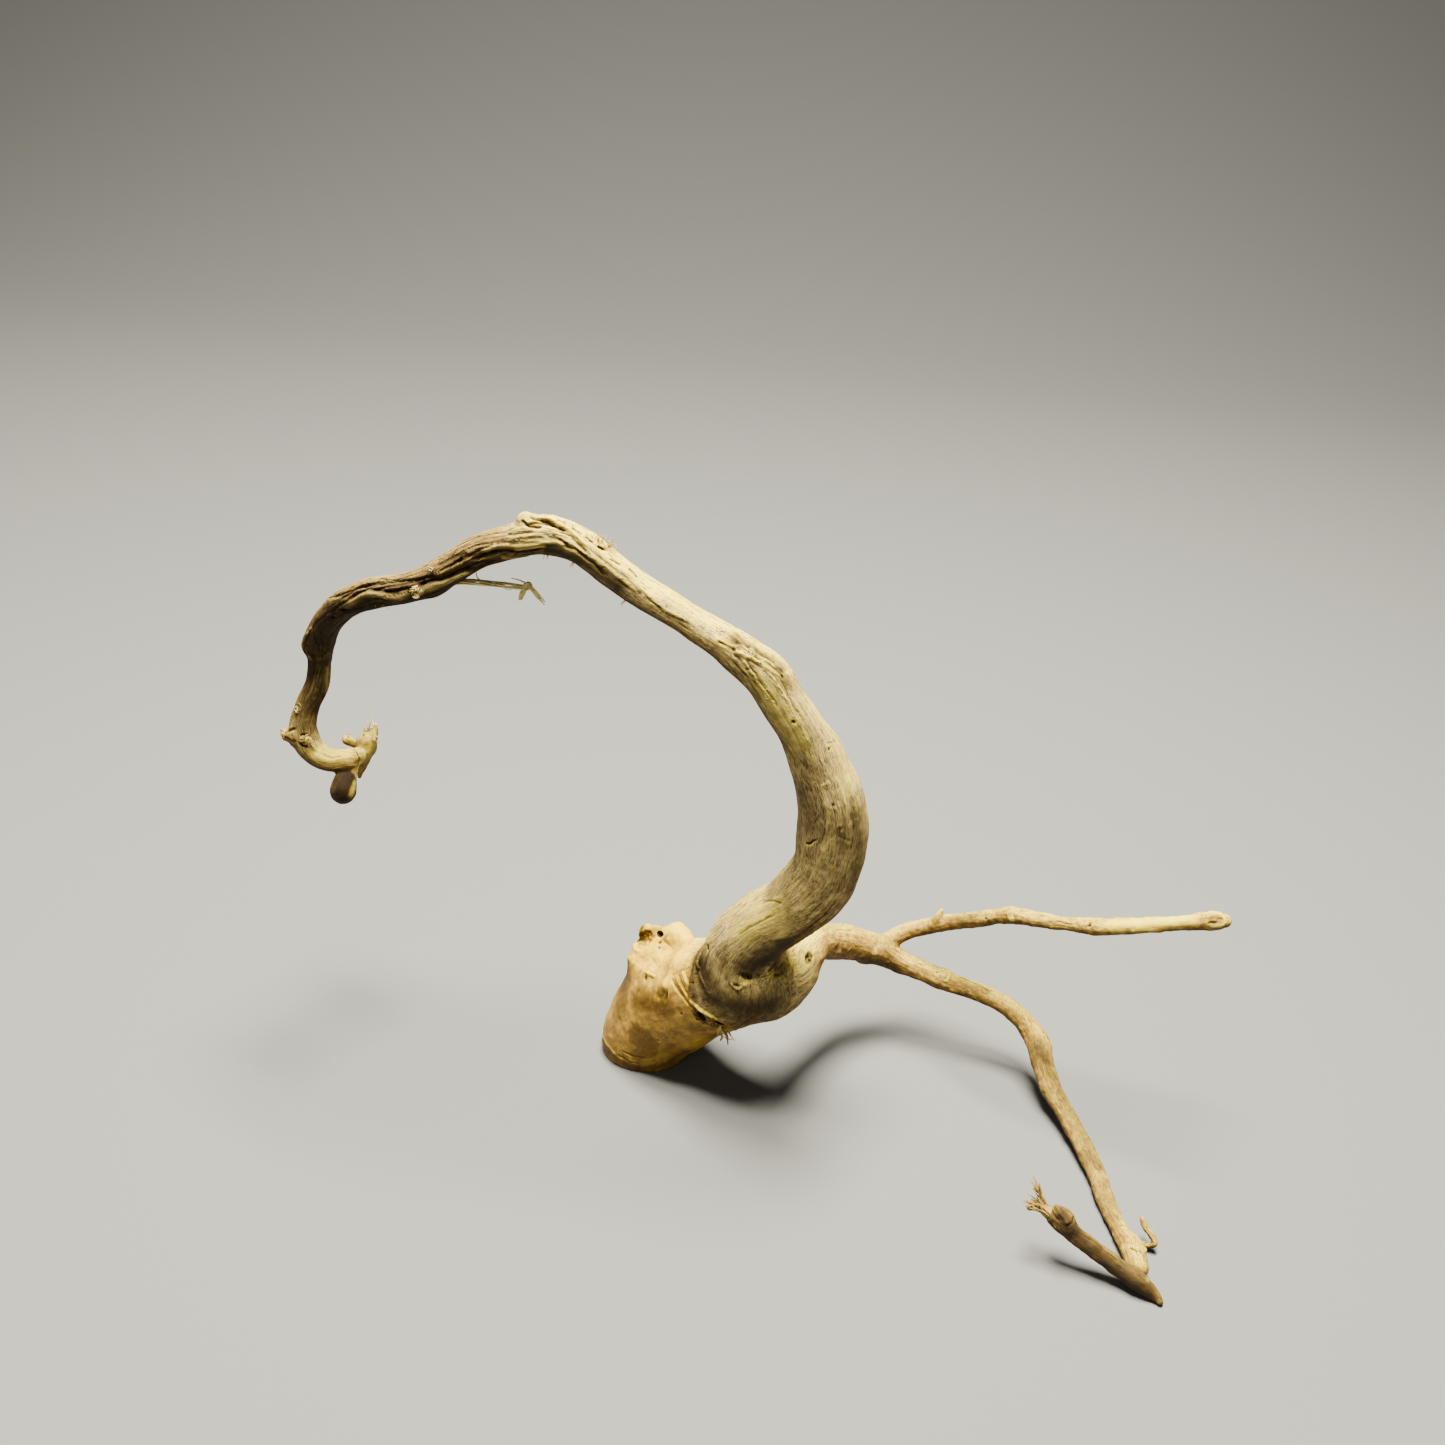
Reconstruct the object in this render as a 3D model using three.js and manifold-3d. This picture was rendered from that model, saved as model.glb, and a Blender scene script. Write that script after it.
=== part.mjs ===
// A branching piece of spider wood that stands on its stump and on its front branch.
// Millimetres. X points right, Y points back, Z points up.
// The origin is the middle of the stump's flat foot, on the surface that the piece stands on.
import * as THREE from 'three';
import { mergeVertices } from 'three/addons/utils/BufferGeometryUtils.js';
import Module from 'manifold-3d';

const wasm = await Module();
wasm.setup();

// Driving dimensions
const GAP = 0.3; // left between two pieces where one grows out of the other
const FLOOR_BOX = { width: 500, thickness: 40 }; // what lies below the surface is cut away
const STRAND_SIDES = 6;
const CREST_LEVEL = 0.7; // how much of a furrow's wave goes into the wood instead of out of it

// Where a limb's section starts to be counted: the side that each limb turns to the viewer
const VIEWER = new THREE.Vector3(0, -1, 0);
const SKY = new THREE.Vector3(0, 0, 1);

// Every limb is a list of places along its middle line: x, y, z and the radius there.
const TRUNK = [
  [25, -13, 40, 12], [33, -18, 50, 17], [33.5, -20, 63, 13.6], [38.5, -23, 75, 11.6], [46.5, -26, 85, 10.8],
  [52, -28, 94, 11.6], [56, -30, 105, 11.2], [56, -31, 117, 11.1], [54, -32, 131, 10.2],
  [49, -32, 143, 8.7], [42, -33, 156, 7.1], [36.5, -33, 163.5, 7.0], [31, -32, 171, 7.0],
  [24, -31, 176, 6.2], [15.5, -29, 181, 5.3], [7, -26, 184.5, 4.6], [-1, -24, 188, 5.0],
  [-9, -21, 191, 5.0], [-18, -18, 195.5, 5.2], [-27, -15, 200.5, 5.3], [-34, -14, 202.5, 5.7],
  [-41, -14, 202.5, 5.7], [-49, -14, 199.5, 4.9], [-58, -14, 196, 5.0], [-65, -14, 191, 4.9],
  [-73, -14, 185.5, 4.8], [-81, -13, 181.5, 4.7], [-89, -12, 179, 4.7], [-97, -9, 175, 4.6],
  [-104, -3, 168.5, 4.5], [-110.5, 3, 160, 4.7], [-114, 6, 152, 5.0], [-115, 7, 144, 3.8],
  [-116, 6, 136, 3.9], [-119, 4, 129, 3.9], [-120.5, 2, 122, 4.5], [-119.5, 1, 117, 4.6],
  [-116, 0, 113, 4.3], [-110, -2, 112, 4.0], [-105, -2, 113, 3.6], [-102.5, 1.5, 112.5, 2.6],
];
const STUMP_LEAN = [
  [-1.5, 1, -4, 15], [0.5, 0, 4, 16.4], [4.5, -2, 14, 16.8], [12, -6.5, 25, 17], [20, -10.5, 35, 16.5],
  [30, -16, 43.5, 15.5], [38, -18, 47.5, 13.5],
];
const STUMP_UPRIGHT = [
  [2, 1, 2, 13], [4, 3, 14, 15.3], [7, 4, 26, 15.3], [8.5, 5, 35, 13.6], [9, 5, 41, 9.5], [9.5, 5, 45, 4],
];
const STUMP_KNOT = [[5, 7, 34, 8], [1, 8, 39, 5.8], [-1, 9, 43, 4.8], [-2, 9, 46, 3.6]];
const STUMP_NUB = [[10, 9, 38, 5.5], [9.5, 10, 43, 3.2], [9.2, 10, 46, 1.8]];
const SIDE_BRANCH = [
  [34, -16, 45, 12.5], [43, -17, 43.5, 10.4], [50, -15.5, 49, 8.6], [53.5, -10, 54.5, 7.4],
  [57, -3, 54.5, 6.7], [62, 4, 50, 6.4], [71, 12, 44.5, 6.1], [81, 17, 39.5, 5.8], [90, 18, 34.5, 4.4],
  [100, 16, 32, 3.9], [109, 14, 29.5, 3.6], [119, 12, 28, 3.4], [129, 9, 26, 3.3],
  [137, 5, 22.5, 3.5], [142.5, -2, 18.5, 4.2], [144, -9, 15.5, 4.1], [146.5, -17, 11, 3.8],
  [151, -27, 7.5, 3.4], [155.2, -39, 5.2, 3.2], [158, -51, 3.8, 3.1], [159.3, -63, 3.2, 3.1],
  [161.3, -74, 2.9, 2.7], [163.3, -83, 3.8, 3.7], [164, -90, 3.8, 3.2],
];
const BACK_BRANCH = [
  [78, 16, 37, 3.2], [84, 19.5, 38.5, 3.6], [89, 22, 41.5, 3.2], [94, 22.5, 44.5, 3.1], [101, 20.5, 49, 3.0],
  [109, 16, 55, 2.9], [116, 9, 62, 2.8], [125, 2, 69.5, 2.7], [133, -4, 73, 2.7], [141, -8, 75.2, 2.4],
  [150, -11, 77, 2.9], [158, -14, 80, 2.9], [167, -16, 83, 2.6], [176, -18, 86, 2.4],
  [183, -20, 89, 2.9], [187.4, -21, 90.4, 2.9], [189, -21.3, 90.8, 2.0],
];
const FRONT_TWIG = [
  [168.8, -100.5, 1.2, 1.0], [166.8, -98.5, 2.4, 2.2], [162.5, -96, 4.2, 2.9], [155.5, -92.5, 6.6, 2.9],
  [148, -89.5, 10.2, 2.8], [142.5, -87.5, 12.9, 2.8], [138, -85.5, 16.2, 3.2], [134.8, -84.5, 18, 2.9],
  [132.8, -84, 18.8, 2.3],
];
const CURLED_TWIG = [
  [161.5, -77, 3.2, 2.2], [165.5, -78, 2.0, 1.5], [169, -79, 2.0, 1.1], [171.5, -79.5, 3.6, 1.0],
  [170.8, -77.5, 5.0, 1.0], [169, -75.5, 6.2, 1.0], [167.8, -74, 8.2, 0.9],
];
const HOOK_STUB = [[-104.5, 0, 111, 2.8], [-105.2, -3, 107.8, 3.2], [-105.2, -7, 105, 3.9], [-104.8, -10.5, 102.8, 4.2]];
const HOOK_SPUR = [
  [-102.5, 4, 102.5, 0.5], [-102, 5, 107.5, 1.9], [-101, 6, 112.5, 2.8], [-99, 6, 116, 2.6],
  [-97.6, 6, 119.5, 1.6], [-96.4, 6, 123.5, 0.4],
];
const HOOK_PEG = [[-101, 6, 113.5, 1.6], [-105, 5.3, 114.5, 1.3], [-107.8, 4.6, 117, 1.6]];
const BURST_STUB = [[-120, 2, 118, 3.8], [-123.4, 1.4, 118.4, 2.9], [-127, 0.8, 119.2, 0.7]];
const TOP_KNOB = [[-40, -13, 202, 4.5], [-42, -14, 205.4, 3.8], [-44, -14, 207, 2.6]];
const TOP_KNOB_RIDGE = [[-43, -14, 206, 2.5], [-37, -14, 207, 2.4], [-31, -14, 205.6, 1.8]];
const LOOSE_FIBRE = [
  [-69, -14.5, 184.5, 0.5], [-63, -14.5, 186, 0.7], [-56, -15.5, 186.6, 0.7], [-50, -16, 186.7, 0.7],
  [-43, -16.5, 186.6, 0.75], [-40.4, -16.8, 184, 0.7], [-37.9, -17, 181.7, 0.35],
];
const LOOSE_FIBRE_LEAF = [[-43, -16.5, 186.4, 0.6], [-45.3, -16.8, 183.4, 0.6]];
const LOOSE_FIBRE_HAIR = [[-56.5, -15.4, 186.6, 0.4], [-58.6, -14.8, 189.6, 0.35]];

// Lumps stand out of a limb and pits go into it: a place, how far the swelling reaches, its height.
const TRUNK_LUMPS = [
  { at: [53, -30, 151], reach: 7, lift: 0.7 },
  { at: [66, -31, 122], reach: 8, lift: 0.6 },
  { at: [62, -34, 137], reach: 7, lift: 0.6 },
  { at: [43, -32, 160], reach: 5, lift: 0.3 },
  { at: [33, -33, 177], reach: 6, lift: 0.5 },
  { at: [24, -31, 183], reach: 5, lift: 0.4 },
  { at: [8, -26, 181], reach: 5, lift: 0.6 },
  { at: [-24, -18, 206], reach: 5, lift: 0.4 },
  { at: [-52, -14, 204], reach: 6, lift: 0.5 },
  { at: [-70, -16, 182], reach: 5, lift: 0.8 },
  { at: [-93, -13, 183], reach: 5, lift: 0.8 },
  { at: [-107, -4, 172], reach: 4, lift: 0.4 },
  { at: [-119, 4, 150.5], reach: 3.2, lift: 1.3 },
  { at: [-113, 2, 150], reach: 3, lift: 0.7 },
  { at: [-119.5, -4, 117.5], reach: 2.2, lift: 1.4 },
  { at: [36, -38, 52], reach: 3.4, lift: 1.0 },
  { at: [32, -37, 54], reach: 2.6, lift: -1.6 },
  { at: [36, -36, 58], reach: 3, lift: -1.4 },
  { at: [21, -26, 60], reach: 6, lift: 0.4 },
  { at: [48, -24, 66], reach: 6, lift: -1.8 },
  { at: [64, -30, 104], reach: 5, lift: -0.9 },
];
const STUMP_LUMPS = [
  { at: [-1, -13, 32], reach: 3.2, lift: 1.7 },
  { at: [4, -16, 30], reach: 4, lift: 1.8 },
  { at: [-2, -12, 28], reach: 2.2, lift: -1.2 },
  { at: [-8, 2, 38], reach: 5, lift: 3.6 },
  { at: [10, -13, 33], reach: 3, lift: 1.4 },
  { at: [-12, -10, 8], reach: 8, lift: 1.0 },
  { at: [8, -18, 14], reach: 7, lift: -0.8 },
  { at: [18, 8, 22], reach: 8, lift: 1.2 },
  { at: [4, 18, 20], reach: 7, lift: 1.4 },
  { at: [-6, 14, 10], reach: 6, lift: -1.0 },
  { at: [17, -3, 48], reach: 7, lift: 2.4 },
  { at: [5, 7, 45], reach: 4, lift: 2.2 },
];
const SIDE_LUMPS = [
  { at: [59, -14, 56], reach: 3, lift: 0.9 },
  { at: [71, 10, 50], reach: 6, lift: 0.9 },
  { at: [109, 13, 34.5], reach: 3.2, lift: 1.2 },
  { at: [146, -6, 23], reach: 4.5, lift: 1.0 },
  { at: [134, 4, 27], reach: 5, lift: 0.5 },
  { at: [155, -44, 9], reach: 5, lift: 0.6 },
  { at: [150, -24, 12], reach: 5, lift: -0.5 },
  { at: [167, -82, 7.5], reach: 4, lift: 0.8 },
];
const BACK_LUMPS = [
  { at: [103.5, 18, 55.5], reach: 2.4, lift: 1.8 },
  { at: [125, 1, 73], reach: 6, lift: 0.7 },
  { at: [150, -13.5, 79], reach: 3, lift: 1.0 },
  { at: [186, -21, 93], reach: 4, lift: 0.6 },
];
const TWIG_LUMPS = [
  { at: [138.5, -85, 19.5], reach: 3.6, lift: 1.5 },
  { at: [140, -88, 18], reach: 3, lift: 1.0 },
  { at: [161, -97, 8], reach: 4, lift: 0.5 },
];

// Long ridges and furrows: how many run round the limb, how deep they are against the radius,
// how far they turn along it, and the stretch of the limb that carries them.
const TRUNK_FLUTES = [
  { count: 3, depth: 0.05, turns: 0.8, from: 0.0, to: 0.55 },
  { count: 4, depth: 0.09, turns: 0.5, from: 0.3, to: 0.62 },
  { count: 4, depth: 0.15, turns: 0.35, from: 0.6, to: 0.86 },
];
const STUMP_FLUTES = [{ count: 4, depth: 0.06, turns: 0.3, from: 0.0, to: 1.0 }];
const BRANCH_FLUTES = [{ count: 3, depth: 0.07, turns: 1.2, from: 0.1, to: 1.0 }];

// The frayed end of the front twig: a short tuft of splinters, each from the twig's end to its tip.
const TUFT_ROOT = [133.2, -84.1, 18.6];
const TUFT_TIPS = [[127.2, -82.6, 18.2], [126.6, -82.4, 20.2], [128.2, -82.4, 22.6], [128.8, -80.5, 28.2]];
const TUFT_ROOT_RADIUS = 1.9;
const TUFT_TIP_RADIUS = 0.35;

// Smooth value between listed values, at a place counted in list steps
function between(values, place) {
  const last = values.length - 1;
  const low = Math.min(Math.floor(place), last - 1);
  const part = place - low;
  const eased = part * part * (3 - 2 * part);
  return values[low] + (values[low + 1] - values[low]) * (part * 0.5 + eased * 0.5);
}

// How strongly a set of flutes shows at a place along the limb: it fades in and out at its ends
function fluteStrength(flute, along) {
  const fade = 0.08;
  const rise = THREE.MathUtils.smoothstep(along, flute.from - fade, flute.from + fade);
  const fall = 1 - THREE.MathUtils.smoothstep(along, flute.to - fade, flute.to + fade);
  return rise * fall;
}

// A limb: a cylinder bent along the middle line, with the radius, flutes and lumps that it carries
function limbGeometry(rows, { facing = VIEWER, sides = 12, rings = 24, flutes = [], lumps = [], grow = 0 }) {
  const path = new THREE.CatmullRomCurve3(rows.map(([x, y, z]) => new THREE.Vector3(x, y, z)), false, 'centripetal');
  const radii = rows.map((row) => row[3]);
  const cylinder = new THREE.CylinderGeometry(1, 1, 1, sides, rings);
  cylinder.deleteAttribute('normal');
  cylinder.deleteAttribute('uv');
  const geometry = mergeVertices(cylinder);
  const place = geometry.attributes.position;
  const lumpSpots = lumps.map((lump) => ({ ...lump, at: new THREE.Vector3(...lump.at) }));
  for (let i = 0; i < place.count; i += 1) {
    const corner = new THREE.Vector3().fromBufferAttribute(place, i);
    const along = corner.y + 0.5;
    const share = path.getUtoTmapping(along);
    const middle = path.getPoint(share);
    const tangent = path.getTangent(share);
    const front = facing.clone().addScaledVector(tangent, -facing.dot(tangent)).normalize();
    const side = new THREE.Vector3().crossVectors(front, tangent);
    const spread = Math.hypot(corner.x, corner.z);
    const angle = Math.atan2(corner.z, corner.x);
    const outward = front.multiplyScalar(Math.cos(angle)).addScaledVector(side, Math.sin(angle));
    let radius = between(radii, share * (radii.length - 1));
    for (const flute of flutes) {
      const wave = Math.cos(flute.count * (angle - flute.turns * Math.PI * 2 * along));
      radius *= 1 + flute.depth * (wave - CREST_LEVEL) * fluteStrength(flute, along);
    }
    const skin = middle.clone().addScaledVector(outward, radius);
    for (const lump of lumpSpots) {
      const away = skin.distanceTo(lump.at) / lump.reach;
      radius += lump.lift * Math.exp(-away * away);
    }
    const end = along < 0.5 ? -1 : 1;
    const isCapRing = along < 1e-6 || along > 1 - 1e-6;
    middle.addScaledVector(tangent, isCapRing ? end * grow : 0);
    middle.addScaledVector(outward, spread * (radius + grow));
    place.setXYZ(i, middle.x, middle.y, middle.z);
  }
  return geometry;
}

// Closed shape from a geometry, for joining and cutting
function solid(geometry) {
  return new wasm.Manifold(new wasm.Mesh({
    numProp: 3,
    vertProperties: new Float32Array(geometry.attributes.position.array),
    triVerts: new Uint32Array(geometry.index.array),
  }));
}

function limb(rows, options = {}) {
  return solid(limbGeometry(rows, options));
}

function boxSolid(width, depth, height, centre) {
  const box = new THREE.BoxGeometry(width, depth, height);
  box.deleteAttribute('normal');
  box.deleteAttribute('uv');
  const merged = mergeVertices(box);
  merged.translate(...centre);
  return solid(merged);
}

function joined(solids) {
  return solids.reduce((whole, next) => whole.add(next));
}

// What is left of a limb outside its neighbours: the largest body, without slivers from the cut
function cutBy(shape, neighbours) {
  const bodies = neighbours.reduce((rest, neighbour) => rest.subtract(neighbour), shape).decompose();
  return bodies.reduce((largest, body) => (body.volume() > largest.volume() ? body : largest));
}

const belowSurface = boxSolid(
  FLOOR_BOX.width, FLOOR_BOX.width, FLOOR_BOX.thickness, [0, 0, -FLOOR_BOX.thickness / 2],
);

// Each piece can be made a little larger, which gives the shape that cuts its neighbour.
function archTrunk(grow = 0) {
  return joined([
    limb(TRUNK, { sides: 18, rings: 92, flutes: TRUNK_FLUTES, lumps: TRUNK_LUMPS, grow }),
    limb(BURST_STUB, { facing: SKY, sides: 8, rings: 4, grow }),
    limb(TOP_KNOB, { sides: 8, rings: 4, grow }),
    limb(TOP_KNOB_RIDGE, { sides: 8, rings: 5, grow }),
  ]);
}

function stumpLobes() {
  return joined([
    limb(STUMP_LEAN, { sides: 20, rings: 16, flutes: STUMP_FLUTES, lumps: STUMP_LUMPS }),
    limb(STUMP_UPRIGHT, { sides: 18, rings: 14, flutes: STUMP_FLUTES, lumps: STUMP_LUMPS }),
    limb(STUMP_KNOT, { sides: 10, rings: 6 }),
    limb(STUMP_NUB, { sides: 8, rings: 4 }),
  ]);
}

function sideBranch(grow = 0) {
  return limb(SIDE_BRANCH, { facing: SKY, sides: 12, rings: 60, flutes: BRANCH_FLUTES, lumps: SIDE_LUMPS, grow });
}

function backBranch() {
  return limb(BACK_BRANCH, { facing: SKY, sides: 10, rings: 44, flutes: BRANCH_FLUTES, lumps: BACK_LUMPS });
}

function frontTwig() {
  const tuft = TUFT_TIPS.map((tip) => limb(
    [[...TUFT_ROOT, TUFT_ROOT_RADIUS], [...tip, TUFT_TIP_RADIUS]],
    { facing: SKY, sides: STRAND_SIDES, rings: 2 },
  ));
  const twig = limb(FRONT_TWIG, { facing: SKY, sides: 10, rings: 26, lumps: TWIG_LUMPS });
  return joined([twig, ...tuft]);
}

function curledTwig() {
  return limb(CURLED_TWIG, { facing: VIEWER, sides: 7, rings: 16 });
}

function hookSpur() {
  return joined([
    limb(HOOK_SPUR, { sides: 8, rings: 14 }),
    limb(HOOK_PEG, { sides: 7, rings: 5 }),
  ]);
}

function hookStub() {
  return limb(HOOK_STUB, { sides: 10, rings: 8 });
}

function looseFibre() {
  return joined([
    limb(LOOSE_FIBRE, { sides: STRAND_SIDES, rings: 12 }),
    limb(LOOSE_FIBRE_LEAF, { sides: STRAND_SIDES, rings: 2 }),
    limb(LOOSE_FIBRE_HAIR, { sides: STRAND_SIDES, rings: 2 }),
  ]);
}

// Colours of the wood: grey-tan on the trunk, honey on the stump, yellower on the branches
const WOOD = {
  trunk: { color: 0xb49a68, roughness: 0.78 },
  stump: { color: 0xb98a42, roughness: 0.5 },
  branch: { color: 0xc2a263, roughness: 0.7 },
  twig: { color: 0xb08a48, roughness: 0.72 },
  fibre: { color: 0x9c7f4c, roughness: 0.85 },
};

function piece(name, shape, wood) {
  const mesh = shape.subtract(belowSurface).getMesh();
  const geometry = new THREE.BufferGeometry();
  geometry.setAttribute('position', new THREE.BufferAttribute(new Float32Array(mesh.vertProperties), 3));
  geometry.setIndex(new THREE.BufferAttribute(new Uint32Array(mesh.triVerts), 1));
  geometry.computeVertexNormals();
  const material = new THREE.MeshStandardMaterial({ ...wood, metalness: 0 });
  const result = new THREE.Mesh(geometry, material);
  result.name = name;
  return result;
}

const trunk = archTrunk();
const trunkGrown = archTrunk(GAP);
const sideGrown = sideBranch(GAP);

const spiderWood = new THREE.Group();
spiderWood.name = 'spider_wood';
spiderWood.add(
  piece('stump', cutBy(stumpLobes(), [trunkGrown, sideGrown]), WOOD.stump),
  piece('arch_trunk', trunk, WOOD.trunk),
  piece('side_branch', cutBy(sideBranch(), [trunkGrown]), WOOD.branch),
  piece('back_branch', cutBy(backBranch(), [sideGrown]), WOOD.branch),
  piece('front_twig', cutBy(frontTwig(), [sideGrown]), WOOD.twig),
  piece('curled_twig', cutBy(curledTwig(), [sideGrown]), WOOD.twig),
  piece('hook_stub', cutBy(hookStub(), [trunkGrown]), WOOD.branch),
  piece('hook_spur', cutBy(hookSpur(), [trunkGrown]), WOOD.branch),
  piece('loose_fibre', cutBy(looseFibre(), [trunkGrown]), WOOD.fibre),
);

export default spiderWood;
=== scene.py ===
"""A branching piece of spider wood: one grown body, its grain, cracks, holes and frayed fibres."""

import math  # noqa: E402

import bpy  # noqa: E402
import numpy as np  # noqa: E402
from mathutils import Matrix, Vector  # noqa: E402


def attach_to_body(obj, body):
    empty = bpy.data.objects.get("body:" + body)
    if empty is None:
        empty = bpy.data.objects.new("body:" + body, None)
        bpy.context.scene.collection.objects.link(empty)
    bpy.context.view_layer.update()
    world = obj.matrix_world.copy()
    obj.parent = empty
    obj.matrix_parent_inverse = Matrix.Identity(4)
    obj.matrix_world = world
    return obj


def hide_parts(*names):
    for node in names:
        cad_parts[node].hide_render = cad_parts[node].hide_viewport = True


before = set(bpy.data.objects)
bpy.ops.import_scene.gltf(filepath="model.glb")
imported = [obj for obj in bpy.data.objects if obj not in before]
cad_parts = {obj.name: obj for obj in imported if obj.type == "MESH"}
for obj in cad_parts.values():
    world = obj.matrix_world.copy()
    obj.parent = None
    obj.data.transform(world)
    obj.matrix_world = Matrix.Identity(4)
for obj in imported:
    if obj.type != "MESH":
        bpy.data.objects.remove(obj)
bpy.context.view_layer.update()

MM = 0.001
CELL = 0.4  # size of the mesh's cells, mm
BRICK = 8  # cells along a brick's side
STEP = 0.5  # spacing of the samples along a limb, mm
ROUGHLY = 4  # of these samples, every fourth is tried to find a rough place
LOW, HIGH = np.array([-132.0, -106.0, -4.0]), np.array([196.0, 32.0, 214.0])  # the box that bricks may fill, mm
CHUNK = 1500  # bricks that are worked out at a time
MARGIN = 22  # around a limb's middle line, where bricks are looked for, mm
OUTSIDE, INSIDE = 7.5, 9  # how far outside and inside the limbs the surface may lie, mm
HALF_DIAGONAL, SLACK = 0.87, 2.2  # half a brick's diagonal, in sides, and the field's error at its centre, mm
NEAR_LIMB, NEAR_HOLE = 4, 6  # limbs and holes that are further from a brick leave it alone, mm
NUDGE = 0.05  # the step that measures the field's slope, mm
SPACING = 3.5  # between the points where a mark is laid on the surface, pixels
WITHIN = 4.0  # from a given pixel, to look for the front of the surface, pixels
SIDES = 5  # of a strand
FAR = 50.0  # a distance in mm that stands for no wood near
FOOT_TOP, FOOT_LENGTH = 68, 34  # where the trunk's foot ends: its height and the place along the trunk, mm
DEEPEST = 1.6  # the most that detail moves the surface in or out, mm
CORNERS = [(n & 1, n >> 1 & 1, n >> 2 & 1) for n in range(8)]  # of a cell

# The camera, which also places the marks that are given by a pixel of the photograph
IMAGE = 1445
FOCAL = 1440.0
SENSOR = 36.0
PITCH, ROLL = math.radians(28.2), math.radians(4.8)
EYE = np.array([18.8, -414.9, 360.0])
LOOK = np.array([0, math.cos(PITCH), -math.sin(PITCH)])
LEVEL_UP = np.array([0, math.sin(PITCH), math.cos(PITCH)])
RIGHT = math.cos(ROLL) * np.array([1.0, 0, 0]) + math.sin(ROLL) * LEVEL_UP
DOWN = -math.cos(ROLL) * LEVEL_UP + math.sin(ROLL) * np.array([1.0, 0, 0])

# Limbs, in mm: places along the middle line with the radius there. The solids have the same ones.
TRUNK = [
    (25, -13, 40, 12), (33, -18, 50, 17), (33.5, -20, 63, 13.6), (38.5, -23, 75, 11.6), (46.5, -26, 85, 10.8),
    (52, -28, 94, 11.6), (56, -30, 105, 11.2), (56, -31, 117, 11.1), (54, -32, 131, 10.2),
    (49, -32, 143, 8.7), (42, -33, 156, 7.1), (36.5, -33, 163.5, 7.0), (31, -32, 171, 7.0),
    (24, -31, 176, 6.2), (15.5, -29, 181, 5.3), (7, -26, 184.5, 4.6), (-1, -24, 188, 5.0),
    (-9, -21, 191, 5.0), (-18, -18, 195.5, 5.2), (-27, -15, 200.5, 5.3), (-34, -14, 202.5, 5.7),
    (-41, -14, 202.5, 5.7), (-49, -14, 199.5, 4.9), (-58, -14, 196, 5.0), (-65, -14, 191, 4.9),
    (-73, -14, 185.5, 4.8), (-81, -13, 181.5, 4.7), (-89, -12, 179, 4.7), (-97, -9, 175, 4.6),
    (-104, -3, 168.5, 4.5), (-110.5, 3, 160, 4.7), (-114, 6, 152, 5.0), (-115, 7, 144, 3.8),
    (-116, 6, 136, 3.9), (-119, 4, 129, 3.9), (-120.5, 2, 122, 4.5), (-119.5, 1, 117, 4.6),
    (-116, 0, 113, 4.3), (-110, -2, 112, 4.0), (-105, -2, 113, 3.6), (-102.5, 1.5, 112.5, 2.6),
]
STUMP_LEAN = [
    (-1.5, 1, -4, 15), (0.5, 0, 4, 16.4), (4.5, -2, 14, 16.8), (12, -6.5, 25, 17), (20, -10.5, 35, 16.5),
    (30, -16, 43.5, 15.5), (38, -18, 47.5, 13.5),
]
STUMP_UPRIGHT = [
    (2, 1, 2, 13), (4, 3, 14, 15.3), (7, 4, 26, 15.3), (8.5, 5, 35, 13.6), (9, 5, 41, 9.5), (9.5, 5, 45, 4),
]
STUMP_KNOT = [(5, 7, 34, 8), (1, 8, 39, 5.8), (-1, 9, 43, 4.8), (-2, 9, 44.2, 2.8)]
STUMP_NUB = [(10, 9, 38, 5.5), (9.5, 10, 43, 3.2), (9.2, 10, 46, 1.8)]
SIDE_BRANCH = [
    (34, -16, 45, 12.5), (43, -17, 43.5, 10.4), (50, -15.5, 49, 8.6), (53.5, -10, 54.5, 7.4),
    (57, -3, 54.5, 6.7), (62, 4, 50, 6.4), (71, 12, 44.5, 6.1), (81, 17, 39.5, 5.8), (90, 18, 34.5, 4.4),
    (100, 16, 32, 3.9), (109, 14, 29.5, 3.6), (119, 12, 28, 3.4), (129, 9, 26, 3.3),
    (137, 5, 22.5, 3.5), (142.5, -2, 18.5, 4.2), (144, -9, 15.5, 4.1), (146.5, -17, 11, 3.8),
    (151, -27, 7.5, 3.4), (155.2, -39, 5.2, 3.2), (158, -51, 3.8, 3.1), (159.3, -63, 3.2, 3.1),
    (161.3, -74, 2.9, 2.7), (163.3, -83, 3.8, 3.7), (164, -90, 3.8, 3.2),
]
BACK_BRANCH = [
    (78, 16, 37, 3.2), (84, 19.5, 38.5, 3.6), (89, 22, 41.5, 3.2), (94, 22.5, 44.5, 3.1), (101, 20.5, 49, 3.0),
    (109, 16, 55, 2.9), (116, 9, 62, 2.8), (125, 2, 69.5, 2.7), (133, -4, 73, 2.7), (141, -8, 75.2, 2.4),
    (150, -11, 77, 2.9), (158, -14, 80, 2.9), (167, -16, 83, 2.6), (176, -18, 86, 2.4),
    (183, -20, 89, 2.9), (187.4, -21, 90.4, 2.9), (189, -21.3, 90.8, 2.0),
]
FRONT_TWIG = [
    (168.8, -100.5, 1.2, 1.0), (166.8, -98.5, 2.4, 2.2), (162.5, -96, 4.2, 2.9), (155.5, -92.5, 6.6, 2.9),
    (148, -89.5, 10.2, 2.8), (142.5, -87.5, 12.9, 2.8), (138, -85.5, 16.2, 3.2), (135.4, -84.7, 17.6, 2.7),
    (133.4, -84.2, 18.6, 1.3),
]
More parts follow.
